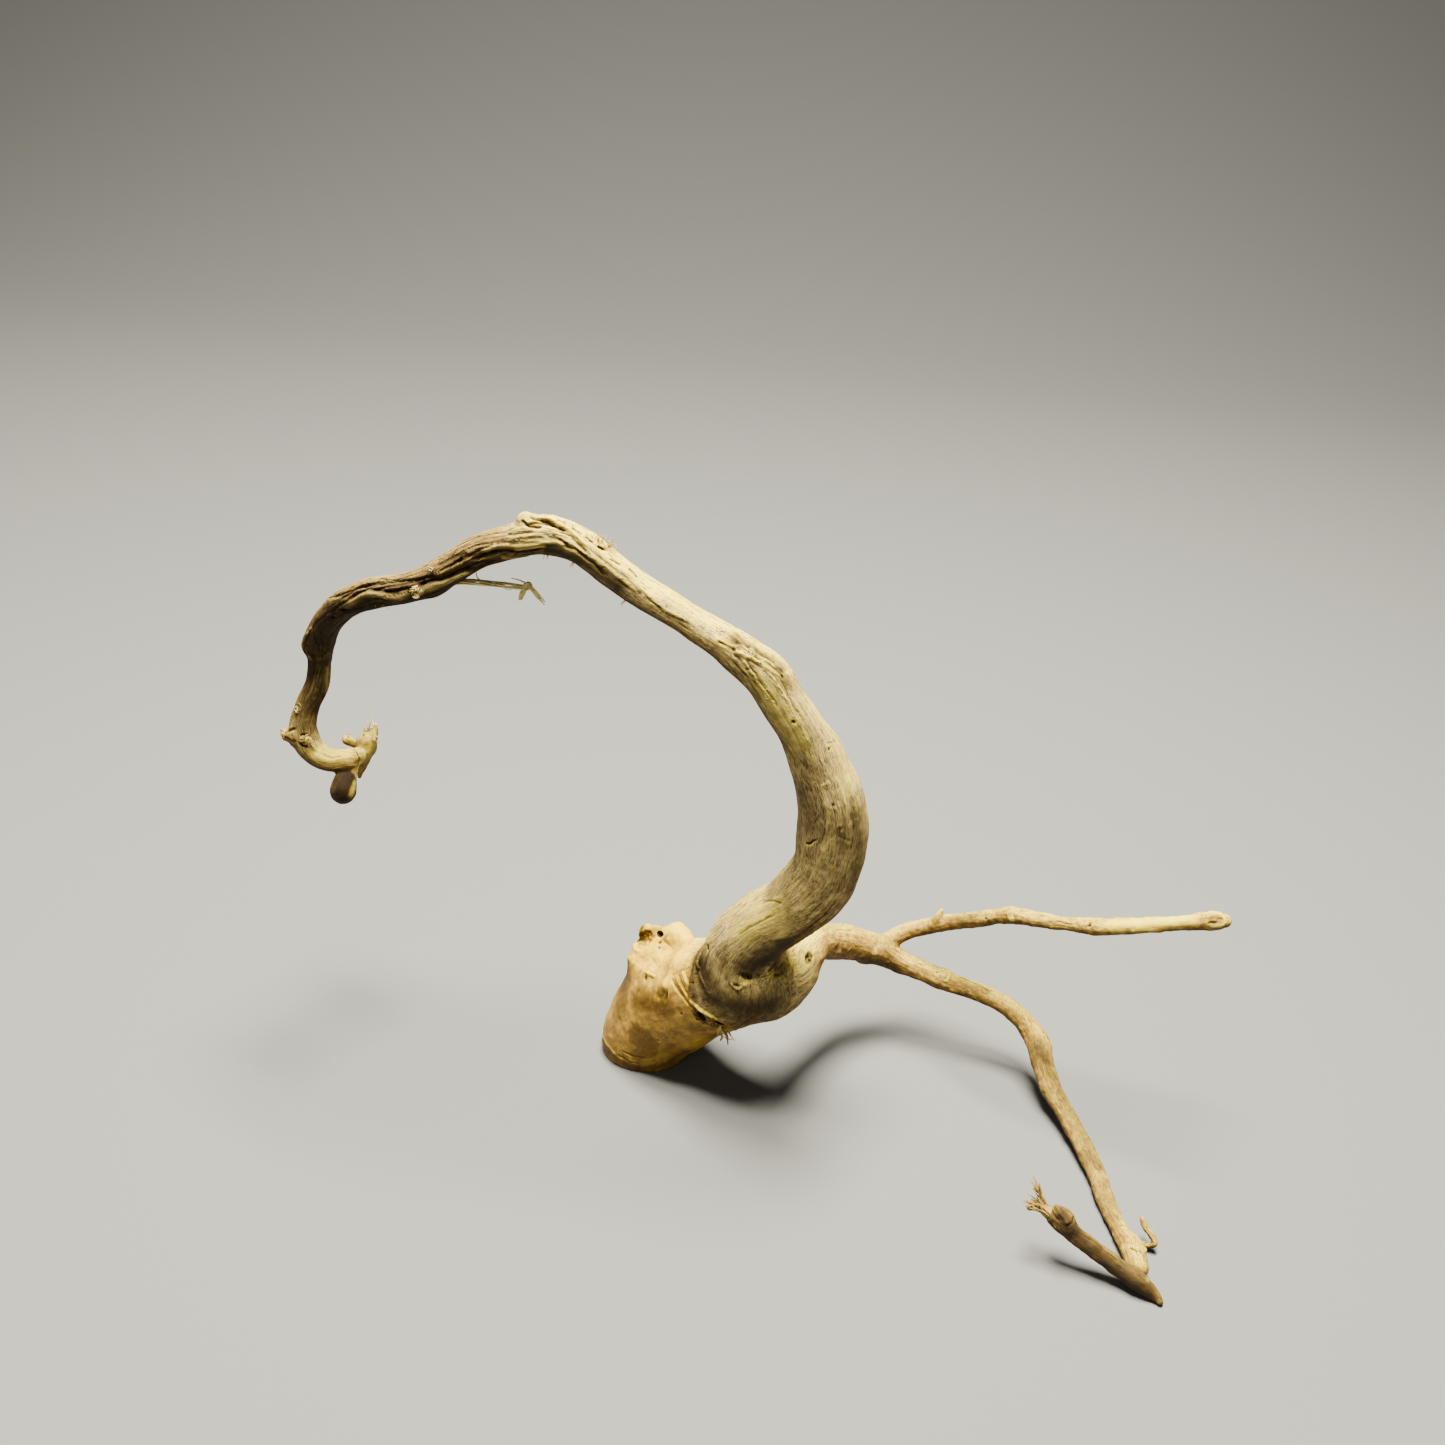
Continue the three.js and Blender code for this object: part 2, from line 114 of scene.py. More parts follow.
CURLED_TWIG = [
    (161.5, -77, 3.2, 2.2), (165.5, -78, 2.0, 1.5), (169, -79, 2.0, 1.1), (171.5, -79.5, 3.6, 1.0),
    (170.8, -77.5, 5.0, 1.0), (169, -75.5, 6.2, 1.0), (167.8, -74, 8.2, 0.9),
]
HOOK_STUB = [(-104.5, 0, 111, 3.1), (-104.9, -3, 108.2, 3.3), (-105.1, -6, 106.0, 4.0), (-105.0, -8.6, 104.4, 4.35)]
HOOK_SPUR = [
    (-102.9, 4, 102.9, 0.7), (-102.4, 5, 106.5, 1.9), (-101.9, 5.5, 109.6, 2.8), (-101, 6, 113.2, 3.9),
    (-99.8, 6, 116.3, 3.2), (-97.8, 6, 119.6, 1.5), (-97.0, 6, 122.2, 0.5),
]
HOOK_PEG = [(-101, 6, 113.5, 1.5), (-104.6, 5.3, 114.9, 1.3), (-106.7, 4.8, 116.4, 1.7)]
BURST_STUB = [(-120, 2, 118, 4.3), (-123.5, 1.4, 118.2, 3.5), (-125.6, 1, 118.6, 2.1)]
THORN = [(102.3, 18.5, 51.5, 1.9), (103.4, 18.5, 55.5, 1.0), (104.2, 18.5, 57.9, 0.3)]
TOP_KNOB = [(-40, -13, 202, 4.5), (-42, -14, 205.4, 3.8), (-44, -14, 207, 2.6)]
TOP_KNOB_RIDGE = [(-43, -14, 206, 2.5), (-37, -14, 207, 2.4), (-31, -14, 205.6, 1.8)]

VIEWER = (0.0, -1.0, 0.0)
SKY = (0.0, 0.0, 1.0)


# ---------------------------------------------------------------- small numeric helpers
def ease(x, low, high):
    """0 below low, 1 above high, smooth between."""
    t = np.clip((x - low) / (high - low), 0, 1)
    return t * t * (3 - 2 * t)


def bell(x):
    """1 at 0, falling off on both sides."""
    return np.exp(-x * x)


def dots(a, b):
    """Dot product of each row."""
    return np.einsum("ij,ij->i", a, b)


def unit(rows):
    """Each row at length 1."""
    return rows / np.maximum(np.linalg.norm(rows, axis=1), 1e-9)[:, None]


def distances(line):
    """Distance along a line to each of its points."""
    return np.concatenate([[0], np.cumsum(np.linalg.norm(np.diff(line, axis=0), axis=1))])


def grid(shape):
    """All whole-numbered places in a box."""
    return np.stack(np.meshgrid(*[np.arange(n) for n in shape], indexing="ij"), -1).reshape(-1, 3)


def summed(index, values, count):
    """Sum of the rows of values that go to each of count corners."""
    return np.stack([np.bincount(index, values[:, axis], count) for axis in range(values.shape[1])], 1)


def lattice(i, j, k, seed):
    """Repeatable value from -1 to 1 at a whole-numbered place."""
    h = (i * 374761393 + j * 668265263 + k * 2147483647 + seed * 1274126177) & 0xFFFFFFFF
    h = ((h ^ (h >> 13)) * 1274126177) & 0xFFFFFFFF
    h = ((h ^ (h >> 16)) * 2246822519) & 0xFFFFFFFF
    h = h ^ (h >> 13)
    return (h & 0xFFFFFF) / float(0x7FFFFF) - 1.0


def noise(q, seed):
    """Smooth noise from about -1 to 1 at places q."""
    base = np.floor(q).astype(np.int64)
    f = q - base
    f = f * f * f * (f * (f * 6 - 15) + 10)
    total = np.zeros(len(q))
    for o in CORNERS:
        weight = np.ones(len(q))
        for axis in range(3):
            weight = weight * (f[:, axis] if o[axis] else 1 - f[:, axis])
        total += weight * lattice(base[:, 0] + o[0], base[:, 1] + o[1], base[:, 2] + o[2], seed)
    return total


def layered(q, layers, seed):
    """Sum of ever finer noise."""
    total, scale, share = np.zeros(len(q)), 1.0, 1.0
    for n in range(layers):
        total += share * noise(q * scale, seed + 17 * n)
        scale, share = scale * 2.1, share * 0.5
    return total


def project(points):
    """Pixel of the photograph and distance from the camera, for points in mm."""
    p = points - EYE
    depth = p @ LOOK
    return IMAGE / 2 + FOCAL * (p @ RIGHT) / depth, IMAGE / 2 + FOCAL * (p @ DOWN) / depth, depth


# ---------------------------------------------------------------- limbs
class Limb:
    """A round limb along a smooth middle line."""

    def __init__(self, rows, facing=VIEWER, blend=2.0, name=""):
        self.name, self.blend = name, blend
        rows = np.array(rows, float)
        spots, radii = rows[:, :3], rows[:, 3]
        ends = np.vstack([2 * spots[0] - spots[1], spots, 2 * spots[-1] - spots[-2]])
        line, thick = [], []
        for i in range(len(spots) - 1):  # a centripetal spline through four places in turn
            p0, p1, p2, p3 = ends[i:i + 4]
            t1 = math.sqrt(np.linalg.norm(p1 - p0))
            t2 = t1 + math.sqrt(np.linalg.norm(p2 - p1))
            t3 = t2 + math.sqrt(np.linalg.norm(p3 - p2))
            count = max(4, int(np.linalg.norm(p2 - p1) / 0.2))
            part = np.linspace(0, 1, count, endpoint=False)
            t = (t1 + (t2 - t1) * part)[:, None]
            a1 = (t1 - t) / t1 * p0 + t / t1 * p1
            a2 = (t2 - t) / (t2 - t1) * p1 + (t - t1) / (t2 - t1) * p2
            a3 = (t3 - t) / (t3 - t2) * p2 + (t - t2) / (t3 - t2) * p3
            b1 = (t2 - t) / t2 * a1 + t / t2 * a2
            b2 = (t3 - t) / (t3 - t1) * a2 + (t - t1) / (t3 - t1) * a3
            line.append((t2 - t) / (t2 - t1) * b1 + (t - t1) / (t2 - t1) * b2)
            thick.append(radii[i] + (radii[i + 1] - radii[i]) * (part + part * part * (3 - 2 * part)) / 2)
        line = np.vstack(line + [spots[-1:]])
        thick = np.concatenate(thick + [radii[-1:]])
        run = distances(line)
        self.length = run[-1]
        count = max(5, int(round(self.length / STEP)) + 1)
        self.step = self.length / (count - 1)
        s = np.linspace(0, self.length, count)
        self.line = np.stack([np.interp(s, run, line[:, a]) for a in range(3)], 1)
        self.radius = np.interp(s, run, thick)
        reach = 5 if radii.max() > 9 else 1  # thick limbs change their radius more smoothly
        window = np.ones(2 * reach + 1) / (2 * reach + 1)
        self.radius = np.convolve(np.pad(self.radius, reach, "edge"), window, "valid")
        self.tangent = unit(np.gradient(self.line, self.step, axis=0))
        self.turn = np.gradient(self.tangent, self.step, axis=0)
        facing = np.array(facing)
        self.front = unit(facing - (self.tangent @ facing)[:, None] * self.tangent)
        self.side = np.cross(self.front, self.tangent)

    def nearest(self, points):
        """Rough place along the limb, and the distance from its surface there."""
        best = np.full(len(points), 1e9)
        found = np.zeros(len(points))
        for i in range(0, len(self.line), ROUGHLY):
            away = np.linalg.norm(points - self.line[i], axis=1) - self.radius[i]
            closer = away < best
            best[closer] = away[closer]
            found[closer] = i * self.step
        return found, best

    def at(self, values, s):
        """The samples' values at places along the limb."""
        place = np.clip(s / self.step, 0, len(self.line) - 1.001)
        low = place.astype(int)
        part = place - low
        if values.ndim == 2:
            part = part[:, None]
        return values[low] * (1 - part) + values[low + 1] * part

    def locate(self, points, s):
        """Place along the limb, offset from the middle line and the radius there."""
        for _ in range(2):
            offset = points - self.at(self.line, s)
            bent = 1 - dots(offset, self.at(self.turn, s))
            move = dots(offset, self.at(self.tangent, s)) / np.maximum(bent, 0.35)
            s = np.clip(s + np.clip(move, -6, 6), 0, self.length)
        return s, points - self.at(self.line, s), self.at(self.radius, s)

    def balls(self, points, upto):
        """Distance to the balls that fill the limb's first part."""
        best = np.full(len(points), 1e9)
        for i in range(int(upto / self.step)):
            best = np.minimum(best, np.linalg.norm(points - self.line[i], axis=1) - self.radius[i])
        return best

    def across(self, offset, s):
        """The offset's two parts across the limb: towards its facing side, and to the side of that."""
        return dots(offset, self.at(self.front, s)), dots(offset, self.at(self.side, s))


trunk = Limb(TRUNK, name="trunk")
hook_stub = Limb(HOOK_STUB, blend=1.6, name="hook")
LIMBS = [
    trunk,
    Limb(STUMP_LEAN, blend=2.5, name="stump"),
    Limb(STUMP_UPRIGHT, blend=4.2, name="stump"),
    Limb(STUMP_KNOT, blend=4.2, name="stump"),
    Limb(STUMP_NUB, blend=3.5, name="stump"),
    Limb(SIDE_BRANCH, SKY, 3.0, "side"),
    Limb(BACK_BRANCH, SKY, 2.4, "back"),
    Limb(THORN, blend=1.0, name="back"),
    Limb(FRONT_TWIG, SKY, 1.6, "twig"),
    Limb(CURLED_TWIG, blend=1.2, name="twig"),
    hook_stub,
    Limb(HOOK_SPUR, blend=0.8, name="hook"),
    Limb(HOOK_PEG, blend=0.6, name="hook"),
    Limb(BURST_STUB, SKY, 1.2, "hook"),
    Limb(TOP_KNOB, blend=1.0, name="trunk"),
    Limb(TOP_KNOB_RIDGE, blend=1.0, name="trunk"),
]
TRUNK_AT, HOOK_STUB_AT = LIMBS.index(trunk), LIMBS.index(hook_stub)

# Swellings and dents, in mm: place, reach, height
LUMPS = [
    ((53, -30, 151), 7, 0.7), ((66, -31, 122), 8, 0.6), ((62, -34, 137), 7, 0.6), ((43, -32, 160), 5, 0.3),
    ((33, -33, 177), 6, 0.5), ((24, -31, 183), 5, 0.4), ((8, -26, 181), 5, 0.6), ((-24, -18, 206), 5, 0.4),
    ((-52, -14, 204), 6, 0.5), ((-70, -16, 182), 5, 0.8), ((-93, -13, 183), 5, 0.8), ((-107, -4, 172), 4, 0.4),
    ((-119, 4, 150.5), 3.2, 1.3), ((-113, 2, 150), 3, 0.7), ((64, -30, 104), 5, -0.9), ((48, -24, 66), 6, -1.8),
    ((21, -26, 60), 6, 0.4),
    ((-8, 2, 38), 6.2, 3.1), ((17, -3, 48), 7, 2.4), ((5, 7, 45), 4, 2.2), ((-12, -10, 8), 8, 1.0),
    ((8, -18, 14), 7, -0.8), ((18, 8, 22), 8, 1.2), ((4, 18, 20), 7, 1.4), ((-6, 14, 10), 6, -1.0),
    ((59, -14, 56), 3, 0.9), ((71, 10, 50), 6, 0.9), ((109, 13, 34.5), 3.2, 1.2), ((146, -6, 23), 4.5, 1.0),
    ((134, 4, 27), 5, 0.5), ((155, -44, 9), 5, 0.6), ((150, -24, 12), 5, -0.5), ((167, -82, 7.5), 4, 0.8),
    ((103.5, 18, 55.5), 2.4, 0.5), ((125, 1, 73), 6, 0.7), ((150, -13.5, 79), 3, 1.0), ((186, -21, 93), 4, 0.6),
    ((138.5, -85, 19.5), 3.6, 1.5), ((140, -88, 18), 3, 1.0), ((161, -97, 8), 4, 0.5),
]
FADE = 2.2  # times its reach, where a lump or patch has faded out

# Holes, in mm: place, the way into the wood, the way of the long side, half sizes (long, across, deep),
# how round the rim is, and how much painted shade fills it inside
HOLLOWS = [
    ((-3.2, 4.3, 44.2), (0.15, 0.9, -0.35), (0.7, 0.0, 0.7), (4.6, 2.7, 3.3), 0.6, 0.2),
    ((3.3, 5.6, 46.0), (0.3, 0.7, -0.65), (0.9, 0.0, -0.4), (1.7, 1.2, 2.4), 0.3, 0.9),
    ((19.8, -28.4, 38.4), (0.2, 0.95, 0.1), (0.6, -0.1, -0.8), (2.0, 1.1, 2.0), 0.4, 0.8),
    ((26.2, -29.6, 37.0), (0.0, 0.95, 0.3), (0.95, 0.0, -0.3), (1.7, 0.7, 1.6), 0.4, 0.8),
    ((20.4, -24.1, 64.4), (0.9, 0.3, -0.25), (0.0, 0.2, 1.0), (0.8, 0.6, 1.6), 0.3, 0.9),
    ((16.0, -23.7, 48.7), (0.7, 0.56, -0.4), (0.0, 0.2, 1.0), (0.6, 0.55, 1.4), 0.3, 0.9),
    ((33.8, -33.9, 60.8), (0.0, 1.0, -0.2), (1.0, 0.0, -0.4), (2.2, 1.3, 1.7), 0.9, 0.6),
    ((30.6, -34.2, 57.0), (0.2, 0.9, -0.1), (1.0, 0.0, 0.2), (1.2, 0.7, 0.9), 0.6, 0.35),
    ((55.1, -17.5, 58.6), (-0.3, 0.63, -0.7), (0.15, 0.6, 0.75), (2.3, 1.4, 1.6), 0.4, 0.75),
    ((-20.8, -19.4, 202.7), (-0.35, 0.55, -0.77), (0.8, 0.0, -0.3), (1.3, 0.45, 1.8), 0.3, 1.0),
    ((-100.5, -11.8, 171.8), (0.3, 0.85, 0.4), (0.8, -0.4, 0.35), (1.9, 0.65, 1.5), 0.3, 0.9),
    ((-105.6, -7.1, 166.6), (0.28, 0.86, 0.43), (0.7, -0.5, 0.2), (1.6, 0.55, 1.4), 0.3, 0.8),
    ((39.6, -40.4, 161.2), (0.0, 1.0, 0.0), (0.8, 0.0, -0.6), (0.8, 0.5, 1.3), 0.3, 0.9),
    ((35.1, -37.2, 174.3), (-0.5, 0.7, -0.5), (0.5, 0.0, -0.8), (0.7, 0.5, 1.0), 0.3, 0.7),
    ((185.6, -24.0, 92.9), (-0.1, 0.75, -0.65), (1.0, 0.1, 0.0), (2.5, 1.5, 1.0), 0.5, 0.12),
]


def hollow_axes(deep, long):
    """A hole's directions as columns: its long side, across that, and into the wood."""
    deep = np.array(deep) / np.linalg.norm(deep)
    long = np.array(long) - np.dot(long, deep) * deep
    long /= np.linalg.norm(long)
    return np.stack([long, np.cross(deep, long), deep], 1)


# Tones of the surface. Several are painted light and shade: shade on undersides, in folds, holes, cracks and patches,
# and light on upward faces and a few highlights
TONES = ("honey", "peeled", "brown", "dark", "pale", "stain", "cool", "rough", "haze", "crease_shade", "worn", "under",
         "painted_top_light")

# Kinds of mark: up or down, its tones, and the steep side of a lip (1: steep to the right of its line)
KINDS = {
    # The deep tones of cuts, grooves, pits and peels are painted shade; the light tone of raised marks is partly light
    # wood, partly painted highlight
    "cut": (-1, {"dark": 0.95}, 0),
    "groove": (-1, {"dark": 0.45}, 0),
    "dip": (-1, {}, 0),
    "fold": (1, {}, 0),
    "ridge": (1, {"pale": 0.45}, 0),
    "lip": (1, {"pale": 0.5}, 1),
    "step": (1, {}, 1),
    "back lip": (1, {"pale": 0.5}, -1),
    "edge": (1, {"pale": 1.0}, 0),
    "peel": (-1, {"haze": 0.75}, 0),
    "bump": (1, {"pale": 0.35}, 0),
    "pit": (-1, {"dark": 0.9}, 0),
}

# Lines on the wood: kind, half width and height in mm, and each line's pixels of the photograph
LINES = [
    # The broken knob on top and the arch to its right
    ("cut", 0.45, 0.9, [(521, 519), (526, 525.5), (530, 527), (543, 526.5)]),
    ("cut", 0.4, 0.7, [(526.5, 524), (540, 523), (548, 524), (556, 526.5), (565, 530.5)]),
    ("cut", 0.45, 0.8, [(529, 515), (532, 518), (540, 520.5), (548, 522), (560, 526.5), (569, 533)]),
    ("edge", 0.4, 0.35, [(523, 520), (527, 522.5), (536, 521.5), (542, 521.5)]),
    ("cut", 0.3, 0.25, [(556, 520), (566, 524)], [(572, 528), (582, 535)], [(585, 536), (594, 543)],
     [(628, 568), (639, 577)], [(595, 566), (604, 575)]),
    ("cut", 0.3, 0.3, [(560, 531), (570, 537)], [(576, 543), (587, 552)], [(610, 558), (621, 566)]),
    ("edge", 0.5, 0.5, [(534, 516), (545, 518), (556, 521), (568, 528), (580, 540), (592, 550)],
     [(479, 554), (492, 548), (507, 545.5), (515, 547), (527, 546), (536, 544), (548, 542), (556, 543)]),
    ("groove", 0.42, 0.35, [(569, 533), (574, 540), (581, 545), (592, 556)]),
    ("dip", 1.0, 0.7, [(546, 511), (549, 515)]),
    ("groove", 0.42, 0.3, [(506, 535), (520, 533), (535, 533)], [(515, 539), (532, 538), (546, 538)],
     [(552, 534), (562, 541), (570, 549)]),
    ("groove", 0.5, 0.3, [(563, 528), (586, 546), (603, 560), (623, 576), (646, 596), (666, 613), (696, 628)]),
    ("fold", 1.1, 0.35, [(571, 545), (593, 555), (606, 568), (626, 580), (649, 596), (666, 610), (696, 628)]),
    ("groove", 0.45, 0.3, [(540, 533), (560, 540), (580, 553), (597, 566)]),
    ("edge", 0.35, 0.3, [(513, 550), (525, 549), (536, 547.5), (547, 546)]),
    ("cut", 0.55, 0.8, [(474, 561), (484, 556), (495, 552.5), (507, 551.5), (519, 553), (534, 551), (546, 549)]),
    ("ridge", 0.6, 0.4, [(500, 557), (514, 557.5), (530, 555)]),
    # The left arch
    ("cut", 0.5, 0.7, [(443, 577), (429, 578), (416, 580), (393, 581), (380, 583), (370, 585), (358, 588)],
     [(414, 586), (403, 590), (393, 593), (380, 591), (368, 589), (358, 593), (348, 600)]),
    ("groove", 0.5, 0.5, [(370, 585), (358, 588), (350, 593), (340, 600)],
     [(358, 593), (348, 600), (338, 606), (330, 614)], [(341, 614), (355, 609), (366, 606)]),
    ("ridge", 1.0, 0.5, [(341, 608), (355, 600), (363, 593), (376, 594), (386, 598), (395, 600), (411, 592)]),
    ("cut", 0.42, 0.5, [(373, 598), (383, 600), (393, 601), (400, 600)]),
    ("peel", 0.7, 0.3, [(436, 566), (446, 561), (459, 555), (469, 553)]),
    ("cut", 0.42, 0.4, [(439, 571), (449, 566), (463, 559)]),
    ("cut", 0.6, 1.0, [(416, 586), (426, 583), (438, 580), (446, 578), (453, 575), (463, 571), (476, 566)]),
    ("ridge", 0.8, 0.6, [(419, 593), (433, 586), (446, 581), (459, 575), (474, 570)]),
    ("edge", 0.8, 0.5, [(414, 597), (419, 593), (424, 590)]),
    ("groove", 0.42, 0.35, [(372, 592), (388, 586), (405, 583), (424, 582)], [(470, 560), (486, 553), (500, 549)],
     [(313, 625), (314, 633), (315, 641), (320, 648)]),
    ("groove", 0.4, 0.3, [(352, 598), (368, 588), (386, 583)], [(452, 564), (466, 556), (480, 550), (496, 545)],
     [(560, 545), (575, 549), (590, 561), (605, 573)]),
    ("cut", 0.35, 0.4, [(455, 574), (468, 568), (480, 563)]),
    ("fold", 0.6, 0.3, [(336, 621), (330, 622), (326, 618), (331, 613)]),
    ("groove", 0.4, 0.25, [(322, 630), (321, 640), (324, 648)]),
    ("fold", 0.9, 0.7, [(334, 647), (328, 654), (320, 659), (312, 659), (307, 653)]),
    ("fold", 0.9, 0.6, [(304, 645), (306, 636), (313, 628)]),
    ("fold", 0.4, 0.3, [(306, 648), (309, 655), (314, 660), (321, 661), (328, 656), (334, 647)]),
    # The trunk's upper end
    ("cut", 0.5, 0.8, [(718, 641), (726, 645), (736, 651)]),
    ("peel", 1.9, 0.7, [(731, 637), (744, 645), (757, 652), (770, 660), (781, 669), (787, 679)]),
    ("back lip", 0.9, 0.8, [(712, 636), (724, 643), (738, 651), (750, 657), (762, 663), (775, 672), (783, 681)]),
    ("edge", 0.3, 0.3, [(741, 644), (752, 651), (766, 659), (777, 667)]),
    ("fold", 0.5, 0.3, [(740, 656), (750, 668), (760, 684), (772, 701)]),
    ("fold", 0.45, 0.3, [(768, 672), (778, 686), (788, 702)]),
    ("groove", 0.42, 0.35, [(747, 662), (758, 678), (768, 693), (779, 708)]),
    ("groove", 0.42, 0.15, [(728, 655), (741, 670), (752, 686), (763, 704)]),
    ("groove", 0.35, 0.12, [(836, 740), (831, 742), (827, 743)]),
    # The trunk's middle
    ("cut", 0.3, 0.55, [(805.7, 843.5), (809.3, 846.2), (813.8, 840), (817, 839.5)]),
    ("dip", 0.5, 0.15, [(838, 836), (845, 838), (852, 841)]),
    ("fold", 0.35, 0.2, [(821, 786), (825, 784), (829, 782)]),
    # The base, with the lip over the stump
    ("step", 1.6, 0.7, [(712, 929), (704, 948), (695, 966), (691, 984), (690, 1001)]),
    ("edge", 0.6, 0.9, [(689, 1000), (697, 1007), (708, 1014), (720, 1020)]),
    ("fold", 1.0, 0.35, [(834, 894), (821, 910), (803, 926), (787, 936), (771, 941)]),
    ("groove", 0.5, 0.3, [(838, 899), (824, 916), (806, 931), (786, 942)]),
    ("groove", 0.45, 0.25, [(738, 936), (748, 928), (762, 921), (776, 914)]),
    ("groove", 0.4, 0.2, [(762, 902), (772, 900), (782, 904)]),
    ("dip", 2.2, 1.0, [(770, 962), (777, 968), (779, 978)]),
    ("fold", 1.6, 0.5, [(791, 960), (787, 972), (785, 984)]),
    ("fold", 0.45, 0.4, [(731, 982), (733, 988), (739, 989.5), (743, 987)]),
    ("cut", 0.3, 0.3, [(803, 951), (804, 957), (809, 963)]),
    ("ridge", 0.35, 0.6, [(808, 954), (810, 958), (809, 961)]),
    ("fold", 0.8, 0.35, [(812, 934), (815, 943)]),
    # The stump
    ("dip", 0.5, 0.35, [(671, 976), (674, 984), (679, 992), (686, 1001), (693, 1008), (698, 1014)]),
    ("fold", 0.35, 0.3, [(675, 973), (678, 982), (683, 991), (687, 998)]),
    ("dip", 0.35, 0.3, [(678, 972), (681, 981), (685, 990), (688, 998)]),
    ("fold", 0.35, 0.25, [(682, 971), (685, 979), (688, 987)]),
    ("dip", 0.35, 0.25, [(685, 971), (688, 978), (690, 985)]),
    ("dip", 0.5, 0.25, [(671, 976), (680, 971), (691, 967)]),
    ("dip", 2.2, 0.8, [(655, 994), (668, 997)]),
    ("edge", 0.5, 0.7, [(646.5, 972.5), (650, 974.5), (656, 976.5)]),
    ("edge", 0.7, 0.6, [(634, 944), (636, 949), (639, 953)]),
    ("fold", 0.6, 0.35, [(600, 1034), (607, 1045), (617, 1055)]),
    ("groove", 0.4, 0.3, [(618, 1054), (628, 1060), (640, 1064)]),
    ("groove", 0.4, 0.25, [(622, 1050), (634, 1056), (648, 1058)]),
    # The branches
    ("lip", 0.8, 0.5, [(942, 964), (949, 969), (949, 977), (944, 982)]),
    ("groove", 0.4, 0.25, [(958, 976), (975, 983), (992, 992)], [(1088, 921), (1092, 924), (1089, 928), (1084, 925)]),
    ("groove", 0.35, 0.2, [(1075, 925), (1062, 922), (1048, 922)]),
    ("edge", 0.45, 0.35, [(1203, 914), (1212, 911), (1221, 914), (1227, 920), (1221, 926), (1209, 927)]),
    ("groove", 0.35, 0.3, [(1207, 922), (1212, 923), (1218, 922)]),
    ("groove", 0.4, 0.3, [(1130, 1248), (1137, 1251), (1142, 1254)]),
    # The front twig
    ("step", 0.9, 0.7, [(1056, 1203), (1056, 1208), (1060, 1214), (1066, 1220), (1068, 1226)]),
    ("groove", 0.4, 0.45, [(1074, 1215), (1074, 1222), (1067, 1226)]),
    ("fold", 0.3, 0.3, [(1057, 1206), (1058, 1211), (1062, 1215)]),
    ("groove", 0.4, 0.3, [(1049, 1207), (1054, 1214), (1060, 1222)]),
    ("groove", 0.4, 0.25, [(1080, 1232), (1095, 1242), (1112, 1256), (1128, 1267)]),
    # The hook
    ("groove", 0.5, 0.5, [(301, 737), (306, 734), (311, 736)]),
    ("cut", 0.4, 0.5, [(300, 744), (304, 747.5), (309, 746)], [(284, 733), (290, 730), (296, 729)]),
    ("fold", 0.4, 0.4, [(301, 742), (304, 739), (307, 741)], [(306, 744.5), (309, 741), (311, 743)]),
    ("ridge", 0.4, 0.35, [(303, 745), (306, 743), (306, 739.5)]),
    ("ridge", 0.35, 0.3, [(307, 737.5), (311, 738.5)]),
    ("groove", 0.4, 0.5, [(283, 737), (290, 739), (297, 742)]),
    ("groove", 0.4, 0.4, [(287, 742), (293, 746), (297, 750)]),
    ("groove", 0.4, 0.25, [(318, 752), (330, 758), (342, 756)]),
    ("cut", 0.3, 0.4, [(348, 795), (349.5, 788), (354, 780)]),
    ("cut", 0.35, 0.6, [(350, 749), (356, 750.5), (359.5, 756), (359.5, 763), (357, 769)]),
]

# Bumps and pits: kind, radius and height in mm, and the pixel of each
DABS = [
    ("fold", 1.8, 0.7, (650, 973)),
    ("pit", 0.8, 0.7, (646, 978)),
    ("bump", 1.9, 0.9, (665, 985)),
    ("pit", 0.5, 0.5, (697, 1020), (703, 1025)),
    ("pit", 0.45, 0.5, (714, 1026)),
    ("pit", 0.45, 0.4, (721, 1027), (659, 948)),
    ("bump", 0.5, 0.5, (700, 1017)),
    ("bump", 0.5, 0.4, (709, 1023)),
    ("bump", 0.4, 0.4, (717, 1023)),
    ("pit", 0.5, 0.4, (681, 1014), (658, 1041)),
    ("pit", 0.7, 0.6, (660, 943)),
    ("bump", 1.0, 0.6, (744, 985)),
    ("bump", 1.2, 0.5, (696, 938)),
    ("fold", 3.2, 0.6, (676, 960)),
    ("pit", 0.45, 0.3, (829, 749)),
    ("pit", 0.4, 0.3, (937, 972), (986, 918)),
    ("pit", 0.6, 0.4, (1089, 925)),
    ("fold", 1.4, 0.7, (1012, 920)),
    ("fold", 1.6, 0.7, (306, 741)),
    ("fold", 2.2, 0.7, (290, 736)),
    ("pit", 0.35, 0.35, (308, 740), (304, 743)),
    ("pit", 0.35, 0.3, (302, 739.5)),
    ("bump", 1.2, 0.7, (1145, 1250)),
    ("bump", 0.9, 0.4, (1148, 1280)),
    ("fold", 1.6, 0.6, (875, 953)),
    ("fold", 0.8, 0.3, (839, 826)),
    ("fold", 0.7, 0.25, (842, 832)),
    ("pit", 0.5, 0.25, (833, 805)),
]

